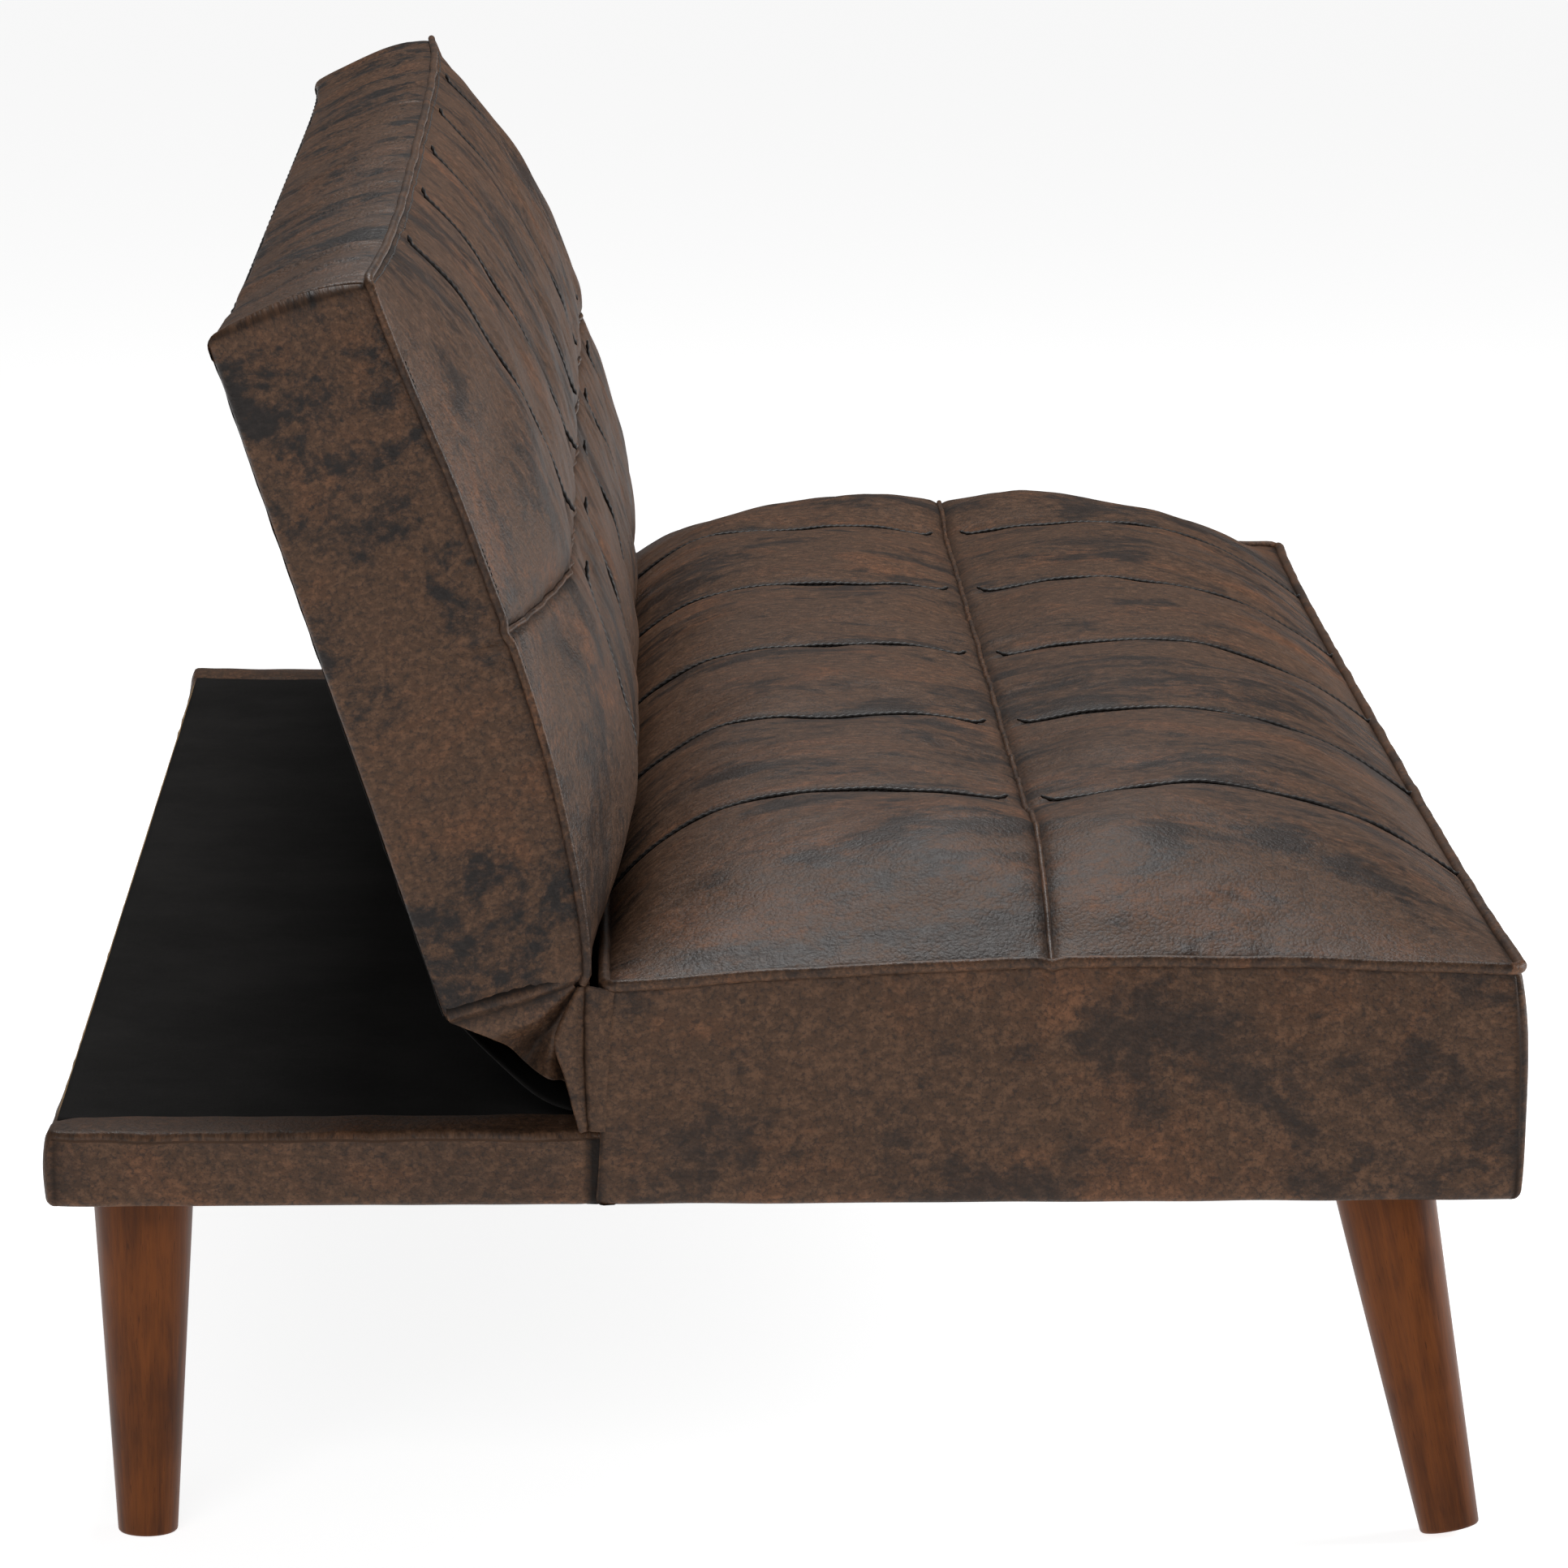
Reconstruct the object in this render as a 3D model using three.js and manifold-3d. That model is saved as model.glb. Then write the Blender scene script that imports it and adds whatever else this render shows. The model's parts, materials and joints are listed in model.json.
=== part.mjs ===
// A folding futon sofa bed: a channelled seat on a timber base, four turned legs, a low ledge behind the
// seat, and a backrest that swings down onto the ledge on two ratchet hinges.
// Millimetres. +X runs along the sofa, -Y is its front, +Z is up, and the floor is z = 0.

import * as THREE from 'three';
import { mergeVertices } from 'three/addons/utils/BufferGeometryUtils.js';
import Module from 'manifold-3d';

const wasm = await Module();
wasm.setup();

// ---- driving dimensions -------------------------------------------------------------------------

const WIDTH = 1680; // over the piping
const DEPTH = 850; // from the front piping to the back of the ledge
const FLOOR_GAP = 209; // floor to the underside of the base

const SEAT_DEPTH = 523; // front border to rear border
const SEAT_SIDE_FRONT = 136; // height of the seat's side, at the front
const SEAT_SIDE_REAR = 128; // and at the hinge
const SEAT_CROWN = 62; // how far the seat rises above its piping
const SEAT_BOW = 9; // how far the rim of each seat end arches up
const SEAT_FULLNESS = 0.4; // the less, the sooner the crown rises from its front and rear rims

const BACK_LENGTH = 422; // along the backrest's front face
const BACK_ROOT = 83; // backrest thickness at the hinge
const BACK_TIP = 98; // and at its top
const BACK_DROP = 6; // fall of the top border towards the rear
const BACK_CROWN = 57;
const BACK_BOW = 19;
const BACK_FULLNESS = 0.75;
const BOW_LOW = 0.7; // below 1 the bow is fullest below the middle
const CROWN_FLAT = 0.62; // share of the width over which a crown keeps its full height
const CROWN_SHOULDER = 2.2; // how squarely it then falls to the ends
const BACK_TILT = THREE.MathUtils.degToRad(16.6); // front face, from upright
const JUNCTION_GAP = 12.5; // between the seat's rear border and the backrest's front lower edge
const JUNCTION_RISE = 1;

const PIVOT_OUT = 11; // hinge axis outside the backrest's lower face
const REST_GAP = 1.6; // left between the folded backrest and the ledge

const COVER = 3; // cover with its wadding
const CLOTH = 1.2;
const PANEL = 6; // plywood under the ledge cloth
const TIMBER = 20; // thickness of the frame boards
const SEAT_FRAME = 76; // height of the seat's frame
const SLAT = 12;
const SLAT_WIDTH = 80;
const SEAT_SLATS = 5;
const BACK_SLATS = 3;
const BACK_FRAME_Y = 48; // front of the backrest's timber, from its front face
const BACK_FRAME_LOW = 22; // its lower edge, from the lower face
const BACK_FRAME_FROM_TOP = 14;
const PIPING_R = 2.8;
const WELT_R = 2.4;
const FLAP = 48; // strip of cover that wraps onto each end of the ledge

const LEG_TOP_R = 29.5;
const LEG_FOOT_R = 17.5;
const LEG_CHAMFER = 2;
const LEG_FROM_SIDE = 75;
const REAR_LEG_FROM_BACK = 52;
const FRONT_LEG_FROM_FRONT = 76.5;
const RAKE = Math.tan(THREE.MathUtils.degToRad(11)); // front legs, forward
const SPLAY = Math.tan(THREE.MathUtils.degToRad(7)); // front legs, outward
const LEG_SIDES = 24;
const BLOCK = 80; // side of a corner block
const FRONT_BLOCK_EXTRA = 20; // the front blocks are longer, to take the raked bolts
const BOLT_R = 4;
const BOLT_IN_LEG = 35;
const BOLT_IN_BLOCK = 0.9; // share of the block's height

const STEEL = 3; // hinge plates
const KNUCKLE_R = 12;
const TOOTH = 1.4;
const TEETH = 9;
const TOOTH_FIRST = -210; // degrees round the knuckle, in the backrest's frame
const TOOTH_SWEEP = 215; // degrees that the teeth take up
const TOOTH_FLANK = 0.9; // share of each tooth that is its long flank
const KNUCKLE_BACK = 1; // from the backrest's front face to the knuckles
const KNUCKLE_CLEAR = 3.2; // between the knuckles and the front of their slots in the cover
const ARM_SETBACK = 8; // from the front of the backrest's timber
const ARM_WIDTH = 16;
const ARM_LENGTH = 150;
const ARM_SHOULDER = 26;
const BRACKET_TAIL = 80;
const BRACKET_EDGE = 2; // from the rear edge of the side board
const BRACKET_NOSE = [11, -5]; // beside the pawl's rivet
const BRACKET_CHIN = [-2, -14];
const PIN_R = 3.5;
const PIN_HEAD_R = 6;
const RIVET_R = 2.5;
const RIVET_HEAD_R = 4.5;
const HEAD = 1.8; // thickness of a pin's head
const PAWL_REACH = 36; // hinge axis to the pawl's rivet
const PAWL_R = 6;
const PAWL_CLEAR = 0.6; // from the pawl's tip to the teeth
const PAWL_TAPER = 8; // degrees on each side of the tip
const PAWL_SHOULDERS = [3, 4]; // how far each side stands back from the tip
const PAWL_OPEN = 70; // degrees on each side of the tip where the round end stops
const PAWL_LEAN = 15; // degrees, from straight down, of the pawl's rivet

const GAP = 0.3; // between pieces that touch
const FIT = 0.5; // between the cover and what it wraps
const RUN = 0.3; // radial clearance of a pin or a bolt in its hole
const OVER = 1; // how far a cutting tool runs past what it cuts
const WELT_LIFT = 1.2; // between a cushion's crown and the cord across it
const WELT_POINTS = 12;
const CROWN_STEPS = [12, 10]; // facets of a crown, across and along

const WEB = 2; // thickness of the gussets
const WEB_CLEAR = 2; // webs, from the seat's rear border and from the backrest's lower face
const WEB_INSET = 10; // gussets, inside the ends of the covers
const GUSSET_LOW = [14, 16]; // points on a gusset's free edge, behind the seat and above the ledge
const GUSSET_HIGH = [36, 42];
const SLACK = [42, 24]; // lowest point of the long web, behind the seat and above the ledge
const SLACK_THICK = 2;
const WEB_SEAM = 4; // strip of the long web against the backrest's lower face

// ---- places worked out from them ----------------------------------------------------------------

const FRONT = -DEPTH / 2;
const REAR = DEPTH / 2;
const PIPING_OUT = 2 * PIPING_R + GAP; // how far the piping stands beyond the cover
const END = WIDTH / 2 - PIPING_OUT; // outer face of the covers
const END_IN = END - COVER;
const WOOD_X = END_IN - FIT; // outer face of the timber
const BOARD_X = WOOD_X - TIMBER; // inner face of the side boards
const BRACKET_X = [BOARD_X - GAP - STEEL, BOARD_X - GAP];
const ARM_X = [BRACKET_X[0] - GAP - STEEL, BRACKET_X[0] - GAP];
const SLOT_X = [ARM_X[0] - FIT, BRACKET_X[1] + FIT];

const SEAT_FRONT = FRONT + PIPING_OUT;
const SEAT_REAR = SEAT_FRONT + SEAT_DEPTH;
const SEAT_TOP_FRONT = FLOOR_GAP + SEAT_SIDE_FRONT;
const SEAT_TOP_REAR = FLOOR_GAP + SEAT_SIDE_REAR;

// The backrest is drawn in its own frame: y is its thickness from the front face, z its length from the
// hinge.
const JUNCTION = [SEAT_REAR + JUNCTION_GAP, SEAT_TOP_REAR + JUNCTION_RISE];
const backToRow = ([y, z]) => [
  JUNCTION[0] + y * Math.cos(BACK_TILT) + z * Math.sin(BACK_TILT),
  JUNCTION[1] - y * Math.sin(BACK_TILT) + z * Math.cos(BACK_TILT),
];
const BACK_CORNERS = [[0, 0], [0, BACK_LENGTH], [BACK_TIP, BACK_LENGTH - BACK_DROP], [BACK_ROOT, 0]];
const PIVOT_IN = KNUCKLE_R + KNUCKLE_BACK; // hinge axis behind the backrest's front face
const PIVOT_LOCAL = [PIVOT_IN, -PIVOT_OUT];
const PIVOT = backToRow(PIVOT_LOCAL);
const PAWL_TURN = THREE.MathUtils.degToRad(PAWL_LEAN);
const PAWL_WAY = [-Math.sin(PAWL_TURN), -Math.cos(PAWL_TURN)];
const PAWL_PIVOT = [PIVOT[0] + PAWL_WAY[0] * PAWL_REACH, PIVOT[1] + PAWL_WAY[1] * PAWL_REACH];

// The ledge is as high as the folded backrest's rear face leaves it.
const REAR_ROOT = backToRow(BACK_CORNERS[3]);
const REAR_TIP = backToRow(BACK_CORNERS[2]);
const REAR_SLOPE = Math.atan2(REAR_TIP[0] - REAR_ROOT[0], REAR_TIP[1] - REAR_ROOT[1]);
const REAR_REACH = (REAR_ROOT[0] - PIVOT[0]) * Math.cos(REAR_SLOPE)
  - (REAR_ROOT[1] - PIVOT[1]) * Math.sin(REAR_SLOPE);
const LEDGE_TOP = PIVOT[1] - REAR_REACH - REST_GAP;

const DUST_TOP = FLOOR_GAP + 1;
const WOOD_Z = DUST_TOP + GAP;
const PANEL_TOP = LEDGE_TOP - CLOTH - GAP;
const LOW_WOOD_TOP = PANEL_TOP - PANEL - GAP;
const SEAT_WOOD_TOP = WOOD_Z + SEAT_FRAME;
const SLAT_TOP = SEAT_WOOD_TOP + GAP + SLAT;
const WOOD_FRONT = SEAT_FRONT + COVER + FIT;
const FRAME_FRONT = WOOD_FRONT + TIMBER + GAP; // behind the front rail
const FRAME_REAR = REAR - COVER - FIT - TIMBER - GAP; // before the rear rail
const HINGE_RAIL_REAR = SEAT_REAR - COVER - FIT;
const HINGE_RAIL_FRONT = HINGE_RAIL_REAR - TIMBER;
const FLAP_X = END - FLAP;

const BACK_FRAME_HIGH = BACK_LENGTH - BACK_FRAME_FROM_TOP;
const STILE_X = ARM_X[1] + GAP;

// ---- materials ----------------------------------------------------------------------------------

const finish = (color, roughness, metalness = 0) =>
  new THREE.MeshStandardMaterial({ color, roughness, metalness });
const leatherette = finish(0x4a3a30, 0.5);
const blackCloth = finish(0x1e1c1b, 0.95);
const legWood = finish(0x6b3a1c, 0.4);
const frameWood = finish(0xb88f5e, 0.8);
const foam = finish(0xe9dfc4, 0.95);
const steel = finish(0x8a8c90, 0.4, 1);

const sofa = new THREE.Group();
const backrest = new THREE.Group();
backrest.position.set(0, JUNCTION[0], JUNCTION[1]);
backrest.rotation.x = -BACK_TILT;
sofa.add(backrest);

function add(parent, name, geometry, material) {
  const mesh = new THREE.Mesh(geometry, material);
  mesh.name = name;
  parent.add(mesh);
}

// ---- solids -------------------------------------------------------------------------------------

function toSolid(geometry) {
  const bare = geometry.clone();
  bare.deleteAttribute('normal');
  bare.deleteAttribute('uv');
  const merged = mergeVertices(bare, 1e-4);
  return new wasm.Manifold(new wasm.Mesh({
    numProp: 3,
    vertProperties: new Float32Array(merged.attributes.position.array),
    triVerts: new Uint32Array(merged.index.array),
  }));
}

function toGeometry(solid) {
  const mesh = solid.getMesh();
  const geometry = new THREE.BufferGeometry();
  geometry.setAttribute('position', new THREE.BufferAttribute(mesh.vertProperties, 3));
  geometry.setIndex(new THREE.BufferAttribute(mesh.triVerts, 1));
  geometry.computeVertexNormals();
  return geometry;
}

const cut = (geometry, ...tools) =>
  toGeometry(tools.reduce((left, tool) => left.subtract(toSolid(tool)), toSolid(geometry)));
// A box between two values on each axis.
function block([x0, x1], [y0, y1], [z0, z1]) {
  return new THREE.BoxGeometry(x1 - x0, y1 - y0, z1 - z0)
    .translate((x0 + x1) / 2, (y0 + y1) / 2, (z0 + z1) / 2);
}

// The pair of x values for a piece on one side of the sofa: side is -1 on the left and 1 on the right.
const onSide = (side, [x0, x1]) => (side > 0 ? [x0, x1] : [-x1, -x0]);

// A flat plate whose outline lies in the Y-Z plane.
function plate([x0, x1], outline, holes = []) {
  const shape = new THREE.Shape(outline.map(([y, z]) => new THREE.Vector2(y, z)));
  for (const [centre, radius] of holes) {
    const hole = new THREE.Path();
    hole.absarc(centre[0], centre[1], radius, 0, Math.PI * 2, true);
    shape.holes.push(hole);
  }
  const yzx = new THREE.Matrix4().makeBasis(
    new THREE.Vector3(0, 1, 0), new THREE.Vector3(0, 0, 1), new THREE.Vector3(1, 0, 0));
  return new THREE.ExtrudeGeometry(shape, { depth: x1 - x0, bevelEnabled: false, curveSegments: 20 })
    .applyMatrix4(yzx)
    .translate(x0, 0, 0);
}

// A turned piece: radii at distances along the line from one point towards another.
function turned(from, towards, profile, sides) {
  const up = towards.clone().sub(from).normalize();
  const lean = new THREE.Vector3(-up.x, -up.y, 0);
  if (Math.abs(up.z) > 1 - 1e-9) lean.set(0, 1, 0);
  if (Math.abs(up.z) < 0.5) lean.set(0, 0, 1);
  const out = lean.clone().addScaledVector(up, -lean.dot(up)).normalize();
  const across = up.clone().cross(out);
  const points = profile.map(([radius, along]) => new THREE.Vector2(radius, along));
  return new THREE.LatheGeometry(points, sides)
    .applyMatrix4(new THREE.Matrix4().makeBasis(across, up, out).setPosition(from));
}

function rod(from, to, radius, sides = 16) {
  const length = from.distanceTo(to);
  return turned(from, to, [[0, 0], [radius, 0], [radius, length], [0, length]], sides);
}

// A loop of piping round a rectangle in the X-Y plane, eight-sided in section.
function pipingLoop(halfX, y0, y1) {
  const bevel = PIPING_R * 0.6;
  const flat = PIPING_R - bevel;
  const rectangle = (grow, Kind) => {
    const outline = new Kind();
    outline.moveTo(-halfX - grow, y0 - grow);
    outline.lineTo(halfX + grow, y0 - grow);
    outline.lineTo(halfX + grow, y1 + grow);
    outline.lineTo(-halfX - grow, y1 + grow);
    outline.closePath();
    return outline;
  };
  const shape = rectangle(flat, THREE.Shape);
  shape.holes.push(rectangle(-flat, THREE.Path));
  return new THREE.ExtrudeGeometry(shape, {
    depth: 2 * flat, bevelThickness: bevel, bevelSize: bevel, bevelSegments: 1,
  }).translate(0, 0, -flat);
}

// A cord across the middle of a cushion, following its crown. edge gives the crown's points.
function midWelt(edge) {
  const points = [];
  const reach = 1 - (WELT_R * 4) / END;
  for (let i = 0; i <= WELT_POINTS; i++) {
    const across = ((2 * i) / WELT_POINTS - 1) * reach;
    points.push(edge(0.5, across * END));
  }
  const section = new THREE.Shape();
  section.absarc(0, 0, WELT_R, 0, Math.PI * 2);
  return new THREE.ExtrudeGeometry(section, {
    steps: WELT_POINTS * 2, curveSegments: 6, extrudePath: new THREE.CatmullRomCurve3(points),
  });
}

// A box whose face from corner a to corner b is crowned. Corners are (y, z); c is behind b, and d behind a.
function cushion(halfWidth, [a, b, c, d], rise) {
  const geometry = new THREE.BoxGeometry(1, 1, 1, ...CROWN_STEPS);
  const place = geometry.attributes.position;
  const length = Math.hypot(b[0] - a[0], b[1] - a[1]);
  const out = [-(b[1] - a[1]) / length, (b[0] - a[0]) / length];
  for (let i = 0; i < place.count; i++) {
    const across = place.getX(i) * 2;
    const along = place.getY(i) + 0.5;
    const crowned = place.getZ(i) > 0;
    const [start, end] = crowned ? [a, b] : [d, c];
    const lift = crowned ? rise(along, across) : 0;
    place.setXYZ(
      i,
      across * halfWidth,
      start[0] + (end[0] - start[0]) * along + out[0] * lift,
      start[1] + (end[1] - start[1]) * along + out[1] * lift,
    );
  }
  return geometry;
}

function crownAcross(across) {
  const fall = Math.max(0, (Math.abs(across) - CROWN_FLAT) / (1 - CROWN_FLAT));
  return 1 - fall ** CROWN_SHOULDER;
}

const arch = (along, power) => Math.max(0, Math.sin(Math.PI * along)) ** power;

function seatRise(along, across) {
  const crown = arch(along, SEAT_FULLNESS) * crownAcross(across);
  return SEAT_BOW * arch(along, 1) + (SEAT_CROWN - SEAT_BOW) * crown;
}

function backRise(along, across) {
  const bow = BACK_BOW * arch(along ** BOW_LOW, 1);
  const crown = crownAcross(across);
  return bow * (1 - crown) + BACK_CROWN * arch(along, BACK_FULLNESS) * crown;
}

// ---- base frame ---------------------------------------------------------------------------------

const SIDES = [['left', -1], ['right', 1]];

function baseFrame() {
  const board = (name, x, y, z) => add(sofa, name, block(x, y, z), frameWood);
  for (const [word, side] of SIDES) {
    board(`side_rail_${word}`, onSide(side, [BOARD_X, WOOD_X]), [FRAME_FRONT, FRAME_REAR],
      [WOOD_Z, LOW_WOOD_TOP]);
    board(`side_board_${word}`, onSide(side, [BOARD_X, WOOD_X]), [FRAME_FRONT, HINGE_RAIL_REAR],
      [LOW_WOOD_TOP + GAP, SEAT_WOOD_TOP]);
  }
  board('front_rail', [-WOOD_X, WOOD_X], [WOOD_FRONT, WOOD_FRONT + TIMBER], [WOOD_Z, SEAT_WOOD_TOP]);
  const hingeRailX = ARM_X[1];
  board('hinge_rail', [-hingeRailX, hingeRailX], [HINGE_RAIL_FRONT, HINGE_RAIL_REAR],
    [WOOD_Z, SEAT_WOOD_TOP]);
  board('rear_rail', [-WOOD_X, WOOD_X], [FRAME_REAR + GAP, FRAME_REAR + GAP + TIMBER],
    [WOOD_Z, LOW_WOOD_TOP]);
  board('centre_rail', [-TIMBER / 2, TIMBER / 2], [FRAME_FRONT, HINGE_RAIL_FRONT - GAP],
    [WOOD_Z, SEAT_WOOD_TOP]);
  board('ledge_bearer', [-TIMBER / 2, TIMBER / 2], [HINGE_RAIL_REAR + GAP, FRAME_REAR],
    [WOOD_Z, LOW_WOOD_TOP]);
}

function seatSlats() {
  const pitch = (2 * BOARD_X) / SEAT_SLATS;
  for (let i = 0; i < SEAT_SLATS; i++) {
    const x = (i - (SEAT_SLATS - 1) / 2) * pitch;
    add(sofa, `seat_slat_${i + 1}`, block([x - SLAT_WIDTH / 2, x + SLAT_WIDTH / 2],
      [WOOD_FRONT, HINGE_RAIL_REAR], [SEAT_WOOD_TOP + GAP, SLAT_TOP]), frameWood);
  }
}

// ---- legs ---------------------------------------------------------------------------------------

// Each leg's place, the slopes of its axis, and the drop that brings the foot's lowest edge to the floor.
function legPlaces() {
  const places = [];
  for (const [word, side] of SIDES) {
    const x = side * (WIDTH / 2 - LEG_FROM_SIDE);
    places.push([`rear_${word}`, new THREE.Vector3(x, REAR - REAR_LEG_FROM_BACK, FLOOR_GAP), 0, 0]);
    places.push([`front_${word}`, new THREE.Vector3(x, FRONT + FRONT_LEG_FROM_FRONT, FLOOR_GAP),
      side * SPLAY, -RAKE]);
  }
  return places.map(([word, top, slopeX, slopeY]) => {
    const lean = Math.atan(Math.hypot(slopeX, slopeY));
    const footZ = (LEG_FOOT_R - LEG_CHAMFER) * Math.sin(lean);
    const drop = top.z - footZ;
    const foot = new THREE.Vector3(top.x + slopeX * drop, top.y + slopeY * drop, footZ);
    return { word, top, foot, up: top.clone().sub(foot).normalize() };
  });
}

function boltTool({ top, up }, radius, above) {
  return rod(top.clone().addScaledVector(up, -BOLT_IN_LEG - GAP), top.clone().addScaledVector(up, above),
    radius);
}

function leg(place) {
  const over = 20; // cut away again, flush with the base
  const length = place.top.distanceTo(place.foot);
  const grow = (LEG_TOP_R - LEG_FOOT_R) / length;
  const blank = turned(place.foot, place.top, [
    [0, 0],
    [LEG_FOOT_R - LEG_CHAMFER, 0],
    [LEG_FOOT_R, LEG_CHAMFER],
    [LEG_TOP_R + grow * over, length + over],
    [0, length + over],
  ], LEG_SIDES);
  const wide = LEG_TOP_R * 3;
  const above = block([place.top.x - wide, place.top.x + wide], [place.top.y - wide, place.top.y + wide],
    [FLOOR_GAP - GAP, FLOOR_GAP + over * 3]);
  return cut(blank, above, boltTool(place, BOLT_R + RUN, over * 3));
}

function cornerBlock(place) {
  const side = Math.sign(place.top.x);
  const x = onSide(side, [BOARD_X - GAP - BLOCK, BOARD_X - GAP]);
  const frontY = [FRAME_FRONT, FRAME_FRONT + BLOCK + FRONT_BLOCK_EXTRA];
  const y = place.top.y > 0 ? [FRAME_REAR - BLOCK, FRAME_REAR] : frontY;
  return cut(block(x, y, [WOOD_Z, LOW_WOOD_TOP]), boltTool(place, BOLT_R + RUN, BLOCK));
}

function legsAndBolts() {
  const places = legPlaces();
  for (const place of places) {
    add(sofa, `leg_${place.word}`, leg(place), legWood);
    add(sofa, `corner_block_${place.word}`, cornerBlock(place), frameWood);
    const from = place.top.clone().addScaledVector(place.up, -BOLT_IN_LEG);
    const to = place.top.clone().addScaledVector(place.up, (LOW_WOOD_TOP - FLOOR_GAP) * BOLT_IN_BLOCK);
    add(sofa, `hanger_bolt_${place.word}`, rod(from, to, BOLT_R), steel);
  }
  const sheet = block([-WOOD_X, WOOD_X], [WOOD_FRONT, REAR - COVER - FIT], [FLOOR_GAP, DUST_TOP]);
  add(sofa, 'dust_cover', cut(sheet, ...places.map((place) => boltTool(place, BOLT_R + RUN, BLOCK))),
    blackCloth);
}

// ---- ledge --------------------------------------------------------------------------------------

function ledge() {
  const panelFront = SEAT_REAR - COVER;
  const bandFront = SEAT_REAR + GAP;
  add(sofa, 'ledge_panel', block([-WOOD_X, WOOD_X], [panelFront, REAR - COVER - FIT],
    [PANEL_TOP - PANEL, PANEL_TOP]), frameWood);
  add(sofa, 'ledge_cloth', block([-FLAP_X + GAP, FLAP_X - GAP], [bandFront + GAP, REAR - COVER - GAP],
    [PANEL_TOP + GAP, LEDGE_TOP]), blackCloth);
  const outside = block([-END, END], [bandFront, REAR], [FLOOR_GAP, LEDGE_TOP]);
  const inY = [bandFront - OVER, REAR - COVER];
  const hollow = block([-END_IN, END_IN], inY, [FLOOR_GAP - OVER, PANEL_TOP + GAP]);
  const opening = block([-FLAP_X, FLAP_X], inY, [FLOOR_GAP, LEDGE_TOP + OVER]);
  add(sofa, 'ledge_band', cut(outside, hollow, opening), leatherette);
}

// ---- seat ---------------------------------------------------------------------------------------

function seatCorners(inset, low) {
  return [
    [SEAT_FRONT + inset, SEAT_TOP_FRONT - inset],
    [SEAT_REAR - inset, SEAT_TOP_REAR - inset],
    [SEAT_REAR - inset, low],
    [SEAT_FRONT + inset, low],
  ];
}

function seatEdge(along, x) {
  const y = SEAT_FRONT + SEAT_DEPTH * along;
  const z = SEAT_TOP_FRONT + (SEAT_TOP_REAR - SEAT_TOP_FRONT) * along;
  return new THREE.Vector3(x, y, z + seatRise(along, x / END));
}

function hingeSlots(y, z) {
  return SIDES.map(([, side]) => block(onSide(side, SLOT_X), y, z));
}

function seat() {
  const core = cushion(END_IN - FIT, seatCorners(COVER + FIT, SLAT_TOP + GAP), seatRise);
  const coreSlots = hingeSlots([HINGE_RAIL_FRONT, SEAT_REAR], [SLAT_TOP, PIVOT[1]]);
  add(sofa, 'seat_foam', cut(core, ...coreSlots), foam);

  const outside = cushion(END, seatCorners(0, FLOOR_GAP), seatRise);
  const inside = cushion(END_IN, seatCorners(COVER, FLOOR_GAP - OVER), seatRise);
  const wall = [SEAT_REAR - COVER - OVER, SEAT_REAR + OVER];
  const passage = block([-END_IN, END_IN], wall, [FLOOR_GAP - OVER, LEDGE_TOP + GAP]);
  const wallSlots = hingeSlots(wall, [LEDGE_TOP, PIVOT[1] - OVER]);
  add(sofa, 'seat_cover', cut(outside, inside, passage, ...wallSlots), leatherette);

  const out = PIPING_R + GAP;
  const fall = SEAT_TOP_FRONT - SEAT_TOP_REAR;
  const slope = Math.atan2(fall, SEAT_DEPTH);
  const loop = pipingLoop(END + out, -out, Math.hypot(SEAT_DEPTH, fall) + out);
  loop.rotateX(-slope).translate(0, SEAT_FRONT, SEAT_TOP_FRONT);
  add(sofa, 'seat_piping', loop, leatherette);
  add(sofa, 'seat_mid_welt', midWelt(seatEdge).translate(0, 0, WELT_R + WELT_LIFT), leatherette);
}

// ---- backrest -----------------------------------------------------------------------------------

function backCorners(inset, deep) {
  const fall = (BACK_DROP / BACK_TIP) * deep;
  return [
    [inset, inset],
    [inset, BACK_LENGTH - inset],
    [BACK_TIP + deep, BACK_LENGTH - BACK_DROP - inset - fall],
    [BACK_ROOT + deep, inset],
  ];
}

function backEdge(along, x) {
  return new THREE.Vector3(x, -backRise(along, x / END), BACK_LENGTH * along);
}

function backFrame() {
  const rearAt = (z) => BACK_ROOT + ((BACK_TIP - BACK_ROOT) * z) / BACK_LENGTH - COVER - CLOTH;
  const low = BACK_FRAME_LOW;
  const high = BACK_FRAME_HIGH;
  const stile = [[BACK_FRAME_Y, low], [rearAt(low), low], [rearAt(high), high], [BACK_FRAME_Y, high]];
  const railX = STILE_X - GAP - 2 * STEEL;
  for (const [word, side] of SIDES) {
    add(backrest, `back_stile_${word}`, plate(onSide(side, [STILE_X, STILE_X + TIMBER]), stile), frameWood);
  }
  const rail = (name, z0, z1) =>
    add(backrest, name, block([-railX, railX], [BACK_FRAME_Y + SLAT, rearAt(low)], [z0, z1]), frameWood);
  rail('back_lower_rail', low, low + TIMBER * 2);
  rail('back_upper_rail', high - TIMBER * 2, high);
  for (let i = 0; i < BACK_SLATS; i++) {
    const x = ((i - (BACK_SLATS - 1) / 2) * 2 * railX) / BACK_SLATS;
    add(backrest, `back_slat_${i + 1}`, block([x - SLAT_WIDTH / 2, x + SLAT_WIDTH / 2],
      [BACK_FRAME_Y, BACK_FRAME_Y + SLAT - GAP], [low, high]), frameWood);
  }
}

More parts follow.
